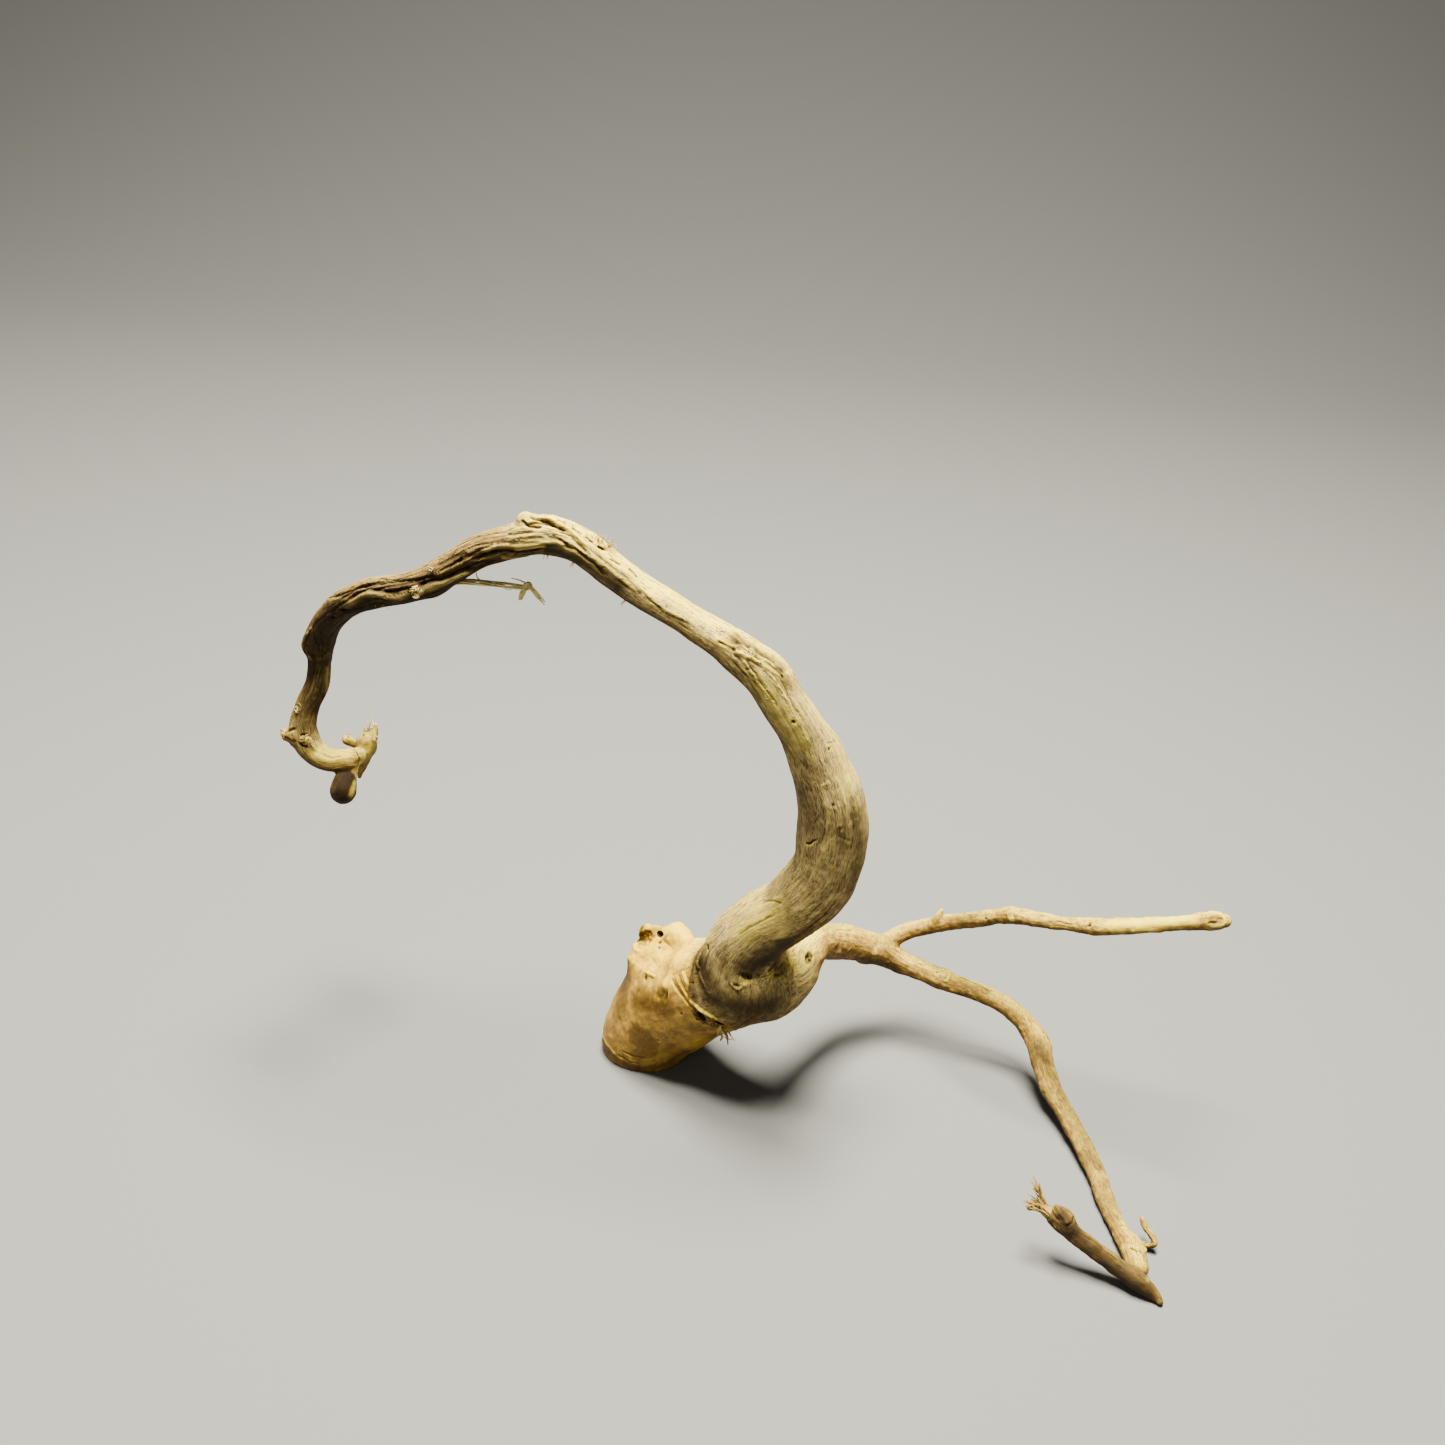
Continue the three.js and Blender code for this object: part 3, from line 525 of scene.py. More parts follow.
# Patches of another tone: tone, strength, radius in mm, and the pixels that each runs along
PATCHES = [
    # The arch, its left side and the drop
    # Painted shade on the arch's undersides, in its grooves and down the drop
    ("haze", 0.8, 1.5, [(470, 573), (492, 567), (520, 562)]),
    ("haze", 0.95, 1.9, [(596, 582), (640, 617), (680, 641), (715, 667), (745, 700), (770, 745)]),
    ("haze", 0.9, 2.6, [(550, 549), (575, 559), (597, 571), (618, 586)]),
    ("haze", 1.0, 2.2, [(515, 562), (545, 558), (566, 564), (590, 580)]),
    ("dark", 0.75, 1.5, [(505, 567), (530, 564), (560, 566), (590, 582), (620, 604), (645, 622)]),
    ("dark", 0.75, 1.8, [(345, 613), (372, 607), (400, 606), (425, 597), (455, 584), (480, 574)]),
    ("haze", 0.6, 1.8, [(470, 571), (440, 583), (415, 596)]),
    ("haze", 0.6, 2.4, [(345, 605), (370, 594), (400, 586), (430, 577)]),
    ("haze", 0.5, 1.6, [(380, 606), (400, 606), (420, 602)]),
    ("rough", 0.45, 2.0, [(655, 610), (668, 620)]),
    ("haze", 0.7, 2.6, [(330, 618), (322, 634), (312, 645)]),
    ("haze", 0.45, 2.2, [(311, 662), (309, 690), (306, 712)]),
    ("pale", 0.5, 0.9, [(328, 668), (327, 690)]),
    ("haze", 0.5, 2.2, [(300, 718), (304, 728)]),
    ("stain", 0.55, 0.8, [(610, 549), (614, 552)]),
    ("stain", 0.5, 0.7, [(584, 528), (590, 531)]),
    ("pale", 0.7, 0.9, [(425, 590), (445, 584), (465, 572)]),
    # The torn strip and the trunk
    # Painted shade under the torn strip and on the trunk's sides
    ("haze", 0.9, 2.0, [(734, 640), (750, 650), (766, 659), (780, 671), (787, 684)]),
    ("haze", 0.4, 3.0, [(804, 795), (810, 825)]),
    ("haze", 0.6, 2.4, [(700, 658), (730, 686), (748, 712)]),
    ("haze", 0.45, 2.4, [(840, 825), (846, 848)]),
    ("haze", 0.5, 2.6, [(857, 815), (860, 850), (852, 880)]),
    ("cool", 0.4, 2.4, [(818, 836), (824, 834)]),
    # Painted highlights where the base and the trunk face up
    ("pale", 0.5, 4.5, [(742, 930), (762, 917), (778, 908)]),
    ("pale", 0.35, 3.0, [(842, 760), (848, 790)]),
    ("pale", 0.4, 4.0, [(764, 690), (782, 715), (800, 742)]),
    # The swollen base and the crotch in painted shade, and the crumbly, stained place under the lip with painted shade
    # in it
    ("haze", 1.0, 7.0, [(700, 968), (706, 986), (716, 1000)], [(728, 1003), (750, 1008), (770, 1006)]),
    ("haze", 1.0, 2.6, [(697, 950), (694, 965), (693, 984), (694, 998)]),
    ("haze", 0.4, 3.5, [(722, 955), (728, 975)]),
    ("haze", 1.0, 5.0, [(748, 968), (768, 958), (786, 945)]),
    ("dark", 0.75, 3.0, [(766, 962), (778, 958), (781, 968)]),
    ("haze", 0.6, 1.8, [(742, 974), (752, 978)]),
    ("rough", 1.0, 2.0, [(697, 1013), (712, 1025), (722, 1027)]),
    ("dark", 0.55, 1.4, [(697, 1015), (704, 1022)]),
    ("stain", 0.6, 2.2, [(698, 1014), (720, 1028)]),
    # The stump
    ("stain", 0.9, 5.0, [(640, 1036), (645, 1042)]),
    ("stain", 0.85, 3.0, [(638, 1054), (650, 1052)]),
    ("stain", 0.5, 1.8, [(608, 1040), (614, 1047)]),
    # Painted shade over the stump's lower half, along its foot, below the bumps, along the rope and at the knot's rim
    ("haze", 0.9, 5.2, [(636, 1000), (664, 1005)]),
    ("haze", 0.4, 3.0, [(618, 1000), (610, 1020)]),
    ("haze", 0.85, 6.5, [(622, 976), (622, 1004)]),
    ("haze", 0.7, 2.2, [(604, 1048), (620, 1061), (640, 1069), (664, 1065), (688, 1052)], [(650, 930), (657, 929)]),
    ("haze", 0.3, 3.5, [(680, 1024), (690, 1030)]),
    ("haze", 0.6, 1.6, [(655, 992), (670, 996)]),
    ("haze", 0.55, 2.4, [(678, 976), (686, 992), (692, 1004)]),
    ("dark", 0.95, 1.5, [(640, 924), (642, 932), (640, 940)]),
    # Painted highlights on the bump's top and on the stump's top
    ("pale", 0.6, 1.6, [(664, 985), (670, 986)]),
    ("pale", 0.5, 3.0, [(672, 950), (684, 958)]),
    # The branches
    # Painted shade on the branches' undersides
    ("haze", 0.5, 2.4, [(868, 962), (892, 966)]),
    ("haze", 0.4, 1.8, [(962, 984), (985, 990)]),
    ("haze", 0.85, 3.4, [(1037, 1047), (1046, 1061)]),
    ("haze", 0.7, 3.2, [(1088, 1153), (1099, 1167)]),
    ("haze", 0.55, 3.0, [(1046, 1064), (1062, 1096), (1080, 1130), (1096, 1162)]),
    ("haze", 0.5, 3.0, [(1102, 1180), (1112, 1215)]),
    ("stain", 0.5, 1.8, [(1114, 1225), (1122, 1238)]),
    ("haze", 0.35, 2.0, [(948, 922), (975, 918)]),
    ("haze", 0.3, 2.0, [(915, 938), (930, 930)]),
    # A painted highlight along the back branch's top
    ("pale", 1.0, 2.2, [(1110, 925), (1150, 923), (1190, 917)]),
    ("stain", 0.5, 1.3, [(1212, 919), (1219, 919)]),
    # The twigs and the hook
    # Painted shade on the front twig and on the hook's stub
    ("haze", 1.0, 4.0, [(1062, 1218), (1085, 1244), (1110, 1264), (1135, 1284), (1150, 1294)]),
    ("haze", 0.7, 2.6, [(1120, 1260), (1140, 1274), (1152, 1292)]),
    ("dark", 0.35, 1.6, [(346, 772), (339, 785), (338, 797)]),
    ("pale", 0.6, 1.3, [(355, 783), (354, 789), (352, 795)]),
    ("pale", 0.9, 2.4, [(362, 768), (367, 755), (371, 742), (374, 732)]),
    ("stain", 0.45, 2.4, [(288, 734), (292, 742)]),
    ("pale", 0.9, 2.2, [(318, 752), (333, 757), (346, 755)]),
]


def smooth_least(a, b, k):
    """The lesser of a and b, rounded off where they are within k."""
    h = np.maximum(k - np.abs(a - b), 0) / k
    return np.minimum(a, b) - h * h * k / 4


class Field:
    """Distance to the wood's surface, below zero inside, for points that know their brick."""

    def __init__(self, centres, reach):
        self.start, self.near = [], []
        for limb in LIMBS:
            s, away = limb.nearest(centres)
            self.start.append(s)
            self.near.append(away < reach)
        spots, reaches = np.array([l[0] for l in LUMPS], float), np.array([l[1] for l in LUMPS])
        self.lump_near = np.linalg.norm(centres[:, None] - spots, axis=2) < reaches * FADE + reach
        spots = np.array([h[0] for h in HOLLOWS], float)
        self.hollow_near = np.linalg.norm(centres[:, None] - spots, axis=2) < reach + NEAR_HOLE
        self.axes = [hollow_axes(h[1], h[2]) for h in HOLLOWS]

    def __call__(self, points, brick, detail=None):
        lift = np.zeros(len(points))
        for n, (spot, reach, height) in enumerate(LUMPS):
            use = self.lump_near[brick, n]
            if use.any():
                away = np.linalg.norm(points[use] - spot, axis=1) / reach
                lift[use] += height * bell(away)
        total = np.full(len(points), FAR)
        for n, limb in enumerate(LIMBS):
            use = self.near[n][brick]
            if not use.any():
                continue
            s, offset, radius = limb.locate(points[use], self.start[n][brick[use]])
            gap = np.linalg.norm(offset, axis=1) - radius
            if limb is trunk:  # its foot bends too tightly for one place along it behind
                behind = ease(points[use, 1], -25, -17) * ease(FOOT_TOP - points[use, 2], 0, 8)
                some = behind > 0
                gap[some] += behind[some] * (limb.balls(points[use][some], FOOT_LENGTH) - gap[some])
            total[use] = smooth_least(total[use], gap, limb.blend)
            if detail is not None:
                detail.append((n, np.flatnonzero(use), s, offset, gap))
        total = total - lift
        for n, (spot, _, _, size, soft, _) in enumerate(HOLLOWS):
            use = self.hollow_near[brick, n]
            if use.any():
                gap = (np.linalg.norm((points[use] - spot) @ self.axes[n] / size, axis=1) - 1) * min(size)
                gap = gap + 0.16 * max(size) ** 0.5 * noise(points[use] * 1.1, 41)
                total[use] = -smooth_least(-total[use], gap, soft)
        return -smooth_least(-total, points[:, 2], 0.8)


def grid_mesh():
    """The wood's surface as a closed quad mesh, and the brick of each corner."""
    # Bricks near the surface: first by the limbs alone, then by the field at their centres
    size = CELL * BRICK
    shape = np.ceil((HIGH - LOW) / size).astype(int)
    cells = grid(shape)
    centres = LOW + (cells + 0.5) * size
    rough = np.full(len(centres), FAR)
    for limb in LIMBS:
        box_low, box_high = limb.line.min(0) - MARGIN, limb.line.max(0) + MARGIN
        inside = np.flatnonzero(np.all((centres > box_low) & (centres < box_high), axis=1))
        rough[inside] = np.minimum(rough[inside], limb.nearest(centres[inside])[1])
    keep = (rough < OUTSIDE + size * 0.5) & (rough > -INSIDE - size * 0.5)
    cells, centres = cells[keep], centres[keep]
    field = Field(centres, INSIDE + size)
    value = field(centres, np.arange(len(centres)))
    keep = np.abs(value) < size * HALF_DIAGONAL + SLACK
    cells, centres = cells[keep], centres[keep]
    field = Field(centres, NEAR_LIMB + size)
    index = np.full(shape + 1, -1)
    index[tuple(cells.T)] = np.arange(len(cells))

    # The field at the first corner of each cell, and the bricks' far sides from their neighbours
    step = grid((BRICK, BRICK, BRICK))
    value = np.empty((len(cells), len(step)), np.float32)
    for first in range(0, len(cells), CHUNK):
        some = np.arange(first, min(first + CHUNK, len(cells)))
        points = (LOW + (cells[some] * BRICK)[:, None] * CELL + step * CELL).reshape(-1, 3)
        value[some] = field(points, np.repeat(some, len(step))).reshape(len(some), -1)
    value = value.reshape(-1, BRICK, BRICK, BRICK)
    padded = np.full((len(cells),) + (BRICK + 1,) * 3, np.nan, np.float32)
    for o in CORNERS:
        neighbour = index[tuple((cells + o).T)]
        have = neighbour >= 0
        to = tuple(slice(BRICK, BRICK + 1) if e else slice(0, BRICK) for e in o)
        take = tuple(slice(0, 1) if e else slice(0, BRICK) for e in o)
        part = np.full(padded[(slice(None),) + to].shape, np.nan, np.float32)
        part[have] = value[(neighbour[have],) + take]
        padded[(slice(None),) + to] = part
    corners = []
    for x, y, z in CORNERS:
        corners.append(padded[:, x:x + BRICK, y:y + BRICK, z:z + BRICK].reshape(len(cells), -1))
    corners = np.stack(corners, -1)

    # One corner of the mesh in each cell that the surface passes through, amid its cuts with the cell's edges
    inside = corners < 0
    active = inside.any(-1) & ~inside.all(-1) & ~np.isnan(corners).any(-1)
    brick, inner = np.nonzero(active)
    corners = corners[brick, inner]
    place = cells[brick] * BRICK + step[inner]
    total, count = np.zeros((len(brick), 3)), np.zeros(len(brick))
    for a in range(8):
        for axis in range(3):
            b = a | 1 << axis
            if b == a:
                continue
            cut = (corners[:, a] < 0) != (corners[:, b] < 0)
            share = corners[cut, a] / (corners[cut, a] - corners[cut, b])
            total[cut] += np.array(CORNERS[a], float) + share[:, None] * np.eye(3)[axis]
            count[cut] += 1
    verts = LOW + (place + total / count[:, None]) * CELL

    # One face around each edge of the grid that the surface cuts
    span = np.array([2 ** 40, 2 ** 20, 1])  # makes one sortable number of a place
    key = place @ span
    order = np.argsort(key)
    faces = []
    for axis in range(3):
        far = 1 << axis
        here, there = corners[:, 0] < 0, corners[:, far] < 0
        u, v = (axis + 1) % 3, (axis + 2) % 3
        for cut, turned in ((here & ~there, False), (~here & there, True)):
            own = np.flatnonzero(cut)
            ring = []
            for du, dv in ((-1, -1), (0, -1), (0, 0), (-1, 0)):
                want = place[own].copy()
                want[:, u] += du
                want[:, v] += dv
                found = np.clip(np.searchsorted(key[order], want @ span), 0, len(key) - 1)
                ring.append(np.where(key[order[found]] == want @ span, order[found], -1))
            quad = np.stack(ring[::-1] if turned else ring, 1)
            faces.append(quad[(quad >= 0).all(1)])
    return verts, np.vstack(faces), brick, field


def settle(verts, brick, field):
    """Moves the corners onto the surface, and gives the direction out of it."""
    rounds = 2
    for turn in range(rounds + 1):
        value = field(verts, brick)
        slope = np.stack([field(verts + e * NUDGE, brick) - value for e in np.eye(3)], 1) / NUDGE
        length = np.linalg.norm(slope, axis=1)
        slope /= np.maximum(length, 1e-6)[:, None]
        if turn < rounds:
            verts = verts - slope * np.clip(value / np.maximum(length, 0.5), -0.5, 0.5)[:, None]
    return verts, slope


# ---------------------------------------------------------------- the surface's own detail
def swollen(points):
    """1 on the trunk's swollen base. It overlaps the peeled stump along a lip that is crisp at the front only."""
    x, y, z = points.T
    behind = ease(y, -20, -8)
    soft = 0.35 + 4 * behind
    lip_x = np.interp(z, [42, 48, 53.5, 61.8, 67.5, 75], [15, 15, 16.1, 18.2, 20.6, 24])
    lip_z = np.interp(x, [15, 18, 22, 26.4, 30, 36], [44, 42.1, 40.6, 39.6, 36.5, 22])
    ragged = 0.3 * noise(points * 0.8, 51) + 2.5 * behind * noise(points * 0.25, 52)
    return ease(x - lip_x + 0.5 * ragged * behind, -soft, soft) * ease(z - lip_z + ragged, -soft, soft)


class Skin:
    """The mesh's corners with their place on the limbs, their relief and their tones."""

    def __init__(self, verts, normal, brick, field):
        self.verts, self.normal = verts, normal
        parts = []
        field(verts, brick, parts)
        count = len(verts)
        self.relief = np.zeros(count)
        self.tone = {name: np.zeros(count) for name in TONES}
        self.grain = np.zeros((count, 3))
        self.limb = np.full(count, -1)
        nearest = np.full(count, 1e9)
        self.gaps = {}  # by limb: the corners near it and their distance from it
        for n, use, s, offset, gap in parts:
            limb = LIMBS[n]
            x, y = limb.across(offset, s)
            near = gap
            if limb is trunk:  # the swollen base has the trunk's grain, also where another limb is nearer
                near = gap - 9 * swollen(verts[use]) * ease(50 - verts[use, 0], 0, 4)
            closer = near < nearest[use]
            took = use[closer]
            nearest[took] = near[closer]
            self.limb[took] = n
            self.grain[took] = np.stack([x, y, s], 1)[closer]
            self.gaps[n] = (use, gap)
        self.u, self.v, self.depth = project(verts)
        seen = np.flatnonzero(dots(normal, verts - EYE) < 0)
        self.seen = seen[np.argsort(self.depth[seen])]
        self.wander = np.stack([noise(verts * 0.7, 5), noise(verts * 0.7, 6), noise(verts * 0.7, 7)], 1)

    def share(self, names, soft):
        """How much each corner belongs to the named limbs, from 0 to 1."""
        mine, other = np.full(len(self.verts), 1e3), np.full(len(self.verts), 1e3)
        for n, (use, gap) in self.gaps.items():
            target = mine if LIMBS[n].name in names else other
            target[use] = np.minimum(target[use], gap)
        return 1 / (1 + np.exp(np.clip((mine - other) / soft, -30, 30)))

    def spot(self, u, v):
        """The point of the surface that shows at a pixel of the photograph."""
        away = np.hypot(self.u[self.seen] - u, self.v[self.seen] - v)
        close = away < WITHIN
        if not close.any():
            return self.verts[self.seen[np.argmin(away)]]
        first = self.depth[self.seen[close]].min()
        front = close & (self.depth[self.seen] < first + 3)  # nothing that lies behind
        return self.verts[self.seen[front][np.argmin(away[front])]]

    def curve(self, pixels):
        """A line on the surface along pixels of the photograph."""
        pixels = np.array(pixels, float)
        run = np.concatenate([[0], np.cumsum(np.hypot(*np.diff(pixels, axis=0).T))])
        at = np.linspace(0, run[-1], max(2, int(run[-1] / SPACING) + 1))
        line = np.array([self.spot(np.interp(a, run, pixels[:, 0]), np.interp(a, run, pixels[:, 1])) for a in at])
        if len(line) > 3:
            line[1:-1] = line[:-2] / 4 + line[1:-1] / 2 + line[2:] / 4
        return line

    def near(self, line, reach, waver=0.2):
        """Corners within reach of a line: which, how far, how far along it and how far to its left."""
        inside = np.all((self.verts > line.min(0) - reach - 1) & (self.verts < line.max(0) + reach + 1), axis=1)
        some = np.flatnonzero(inside)
        spots = self.verts[some] + self.wander[some] * waver
        best, part, left = np.full(len(some), 1e9), np.zeros(len(some)), np.zeros(len(some))
        for i in range(len(line) - 1):
            along = line[i + 1] - line[i]
            length = max(np.linalg.norm(along), 1e-6)
            share = np.clip((spots - line[i]) @ along / length ** 2, 0, 1)
            offset = spots - line[i] - share[:, None] * along
            away = np.linalg.norm(offset, axis=1)
            closer = away < best
            best[closer] = away[closer]
            part[closer] = (i + share[closer]) / (len(line) - 1)
            left[closer] = dots(np.cross(self.normal[some[closer]], along / length), offset[closer])
        keep = best < reach
        return some[keep], best[keep], part[keep], left[keep]

    def tint(self, name, amount, some=slice(None)):
        """Brings a tone up to an amount, where it is less."""
        self.tone[name][some] = np.maximum(self.tone[name][some], amount)

    def add(self, some, shape, height, tones):
        """Raises some corners by a shape from 0 to 1, and colours them by it."""
        self.relief[some] += height * shape
        for name, amount in tones.items():
            self.tint(name, amount * np.clip(shape, 0, 1), some)

    def stroke(self, kind, width, height, pixels):
        """Cuts or raises a line of the given half width, in mm, and colours it."""
        sign, tones, steep = KINDS[kind]
        line = self.curve(pixels)
        some, away, part, left = self.near(line, width * 2.4 + 0.6)
        shape = bell(away / width)
        if steep:
            shape = np.where(left * steep > 0, shape, bell(away / min(width, 0.45)))
        shape = shape * ease(part, -0.02, 0.14) * ease(1 - part, -0.02, 0.14)
        shape = shape * (1 + 0.35 * self.wander[some, 0])
        self.add(some, shape, sign * height, tones)

    def dab(self, kind, radius, height, pixel):
        """A round bump, pit or spot of colour."""
        sign, tones, _ = KINDS[kind]
        spot = self.spot(*pixel)
        away = np.linalg.norm(self.verts + self.wander * radius * 0.15 - spot, axis=1)
        some = np.flatnonzero(away < radius * 2.5)
        self.add(some, bell(away[some] / radius), sign * height, tones)

    def patch(self, name, amount, radius, pixels):
        """A patch of tone with a ragged border, along pixels of the photograph: a stain, a cool or rough patch,
        painted shade or a painted highlight.
        """
        line = self.curve(pixels) if len(pixels) > 1 else self.spot(*pixels[0]) + np.array([[0, 0, 0], [0.1, 0, 0]])
        some, away, _, _ = self.near(line, radius * FADE, min(radius * 0.22, 0.35))
        away = away * (1 + 0.175 * noise(self.verts[some] * 0.5, 31))
        edge = 1 - ease(away, radius * 0.85, radius * 1.15) if name in ("stain", "rough") else bell(away / radius)
        self.tint(name, amount * edge, some)


def grain_relief(skin):
    """Flutes, fibres and small wrinkles along the grain, in mm, and the tones that go with them."""
    # How much of each kind of wood there is, and how fibrous it is
    honey = skin.share(("stump",), 0.5) * (1 - swollen(skin.verts))
    peeled = skin.share(("side", "back", "twig"), 1.0) * ease(skin.verts[:, 0], 55, 60)
    x, y, s = skin.grain.T
    thick = np.minimum(np.hypot(x, y), 11)
    turn = s * 0.008 + 0.25 * noise(np.stack([s * 0.04, x * 0.05, y * 0.05], 1), 3)
    x, y = x * np.cos(turn) - y * np.sin(turn), x * np.sin(turn) + y * np.cos(turn)
    skin.grain = np.stack([x, y, s], 1)

    def drawn_out(wide, long, seed):
        """Noise that runs along the grain."""
        return noise(np.stack([x * wide, y * wide, s * long], 1), seed)

    on_trunk = np.isin(skin.limb, [n for n, l in enumerate(LIMBS) if l.name in ("trunk", "hook")])
    reach = skin.verts[:, 0] + 0.35 * (skin.verts[:, 2] - 200)
    arch = on_trunk * ease(-reach, 35, 60) * (1 - 0.85 * ease(158 - skin.verts[:, 2], 0, 12))
    upper = on_trunk * ease(skin.verts[:, 2], 120, 165)
    fibrous = (1 - honey) * (1 - 0.75 * peeled) * (1 - 0.7 * (skin.limb == TRUNK_AT) * ease(16 - s, 0, 10))

    # Relief and cracks, from coarse to fine
    flutes, strands, hairs = drawn_out(0.3, 0.03, 11), drawn_out(0.85, 0.06, 12), drawn_out(1.7, 0.13, 13)
    creases = 1 - ease(np.abs(drawn_out(0.6, 0.035, 14)), 0.0, 0.13)
    furrows = 1 - ease(np.abs(drawn_out(0.42, 0.022, 15)), 0.0, 0.16)
    skin.relief += fibrous * (0.018 * thick * flutes + 0.095 * strands + 0.065 * hairs)
    broken = ease(drawn_out(0.15, 0.07, 16), -0.2, 0.35)
    crack = creases * broken * fibrous * (0.3 + 0.7 * np.maximum(arch, 0.6 * upper))
    skin.relief -= 0.22 * crack + 0.3 * furrows * arch * fibrous
    # painted shade in the cracks and furrows
    skin.tint("dark", 0.5 * crack + 0.35 * furrows * arch * fibrous)
    soft = layered(skin.verts * 0.11, 3, 21)
    knotty = layered(skin.verts * 0.33, 2, 22)
    skin.relief += honey * (0.35 * soft + 0.1 * knotty) + peeled * (0.2 * knotty + 0.05 * strands + 0.03 * hairs)
    skin.relief += fibrous * 0.06 * knotty

    # Tones of the kinds of wood
    skin.tone["honey"] = honey
    skin.tone["peeled"] = peeled
    hook = on_trunk * ease(-skin.verts[:, 0], 96, 101) * ease(119 - skin.verts[:, 2], 0, 5)
    skin.tint("peeled", 0.7 * hook)
    skin.tone["brown"] = ease(-reach, 30, 58) * on_trunk * (0.25 + 0.7 * ease(skin.verts[:, 2], 116, 130))
    skin.tint("brown", 0.45 * skin.share(("twig",), 0.6))


def mark(skin):
    """The listed marks, the painted shade inside the holes and the painted shade of the hook's stub."""
    for kind, width, height, *lines in LINES:
        for pixels in lines:
            skin.stroke(kind, width, height, pixels)
    for kind, radius, height, *pixels in DABS:
        for pixel in pixels:
            skin.dab(kind, radius, height, pixel)
    for name, amount, radius, *lines in PATCHES:
        for pixels in lines:
            skin.patch(name, amount, radius, pixels)
    # painted shade inside the holes, strongest in the middle
    for spot, deep, long, size, _, shade in HOLLOWS:
        away = np.linalg.norm((skin.verts - spot) @ hollow_axes(deep, long) / size, axis=1)
        skin.tint("dark", shade * (1 - ease(away, 0.95, 1.25)))
    # The stub's hanging end lies in the hook's shade, most of all on its inner side
    stub = (skin.limb == HOOK_STUB_AT) * ease(-skin.verts[:, 1], 4.2, 6.0) * (1 - skin.tone["pale"])
    inner = ease(skin.normal[:, 0] + 0.3 * skin.wander[:, 1], -0.8, 0.1)
    for name, amount in (("stain", 0.97), ("haze", 0.7 + 0.25 * inner), ("dark", 0.25 + 0.68 * inner)):
        skin.tint(name, amount * stub)


def neighbours_mean(values, faces):
    """The mean of each corner's neighbours along the edges."""
    total, count = np.zeros_like(values), np.zeros(len(values))
    for i in range(4):
        a, b = faces[:, i], faces[:, (i + 1) % 4]
        count += np.bincount(a, minlength=len(values)) + np.bincount(b, minlength=len(values))
        total += summed(a, values[b], len(values)) + summed(b, values[a], len(values))
    return total / np.maximum(count, 1)[:, None]


def painted_light_and_wear(skin, faces):
    """Painted shade in concave folds and on undersides, painted light on upward faces, and worn high places, from how
    the surface bends and faces.
    """
    smooth = skin.verts
    bend = np.zeros(len(smooth))
    for rounds in (1, 3):
        for _ in range(rounds):
            smooth = neighbours_mean(smooth, faces)
        bend += dots(smooth - skin.verts, skin.normal)
    # painted shade in concave folds, less on the stump
    skin.tone["crease_shade"] = ease(bend, 0.006, 0.11) * (1 - 0.45 * skin.tone["honey"])
    plain = (1 - 0.6 * skin.tone["haze"]) * (1 - 0.5 * skin.tone["peeled"])
    skin.tone["worn"] = ease(-bend, 0.012, 0.11) * plain * (1 - 0.5 * skin.tone["brown"])
    # painted shade on faces that look down, more on brown wood and less on the stump
    skin.tone["under"] = ease(-skin.normal[:, 2] + 0.2 * skin.wander[:, 0] + 0.25 * skin.tone["brown"], -0.4, 0.7)
    skin.tone["under"] *= 1 - 0.3 * skin.tone["honey"]
    # painted light on faces that look up
    skyward = ease(skin.normal[:, 2] + 0.2 * skin.wander[:, 1], 0.35, 0.95)
    skin.tone["painted_top_light"] = skyward * plain * (1 - 0.75 * skin.tone["brown"])
    skin.tone["worn"] *= 1 - 0.6 * skin.tone["under"]


def build_skin():
    """The finished skin and its faces."""
    verts, faces, brick, field = grid_mesh()
    verts, normal = settle(verts, brick, field)
    skin = Skin(verts, normal, brick, field)
    grain_relief(skin)
    mark(skin)
    skin.verts = skin.verts + skin.normal * np.clip(skin.relief, -DEEPEST, DEEPEST)[:, None]
    skin.verts[:, 2] = np.maximum(skin.verts[:, 2], 0)
    skin.normal = corner_normals(skin.verts, faces)
    painted_light_and_wear(skin, faces)
    return skin, faces


def corner_normals(verts, faces):
    """The direction out of the surface at each corner, from the faces around it."""
    a = verts[faces[:, 2]] - verts[faces[:, 0]]
    b = verts[faces[:, 3]] - verts[faces[:, 1]]
    face = np.cross(a, b)
    total = np.zeros_like(verts)
    for i in range(4):
        total += summed(faces[:, i], face, len(verts))
    return unit(total)


# ---------------------------------------------------------------- pieces
PIECES = [
    ("stump_skin", ["stump"], "stump_wood"),
    ("trunk_foot", ["arch_trunk"], "trunk_wood"),
    ("trunk", ["arch_trunk"], "trunk_wood"),
    ("arch", ["arch_trunk"], "trunk_wood"),
    ("hook", ["arch_trunk", "hook_stub", "hook_spur"], "trunk_wood"),
    ("branches", ["side_branch", "back_branch"], "branch_wood"),
    ("twigs", ["front_twig", "curled_twig"], "twig_wood"),
]


def regions(centre):
    """The piece that each face belongs to. Where these parts of space overlap, the last one counts."""
    x, y, z = centre.T
    name = np.full(len(centre), "stump_skin")
    name[x > 17] = "trunk_foot"
    name[(z > 75) & (x > -30)] = "trunk"
    name[(z > 150) & (x < 15)] = "arch"
    name[(z < 152) & (x < -60)] = "hook"
    name[(x > 66) & (z < 100)] = "branches"
    name[(x > 120) & (y < -76)] = "twigs"
    return name


def add_object(name, data):
    """A new object of the scene."""
    made = bpy.data.objects.new(name, data)
    bpy.context.scene.collection.objects.link(made)
    return made


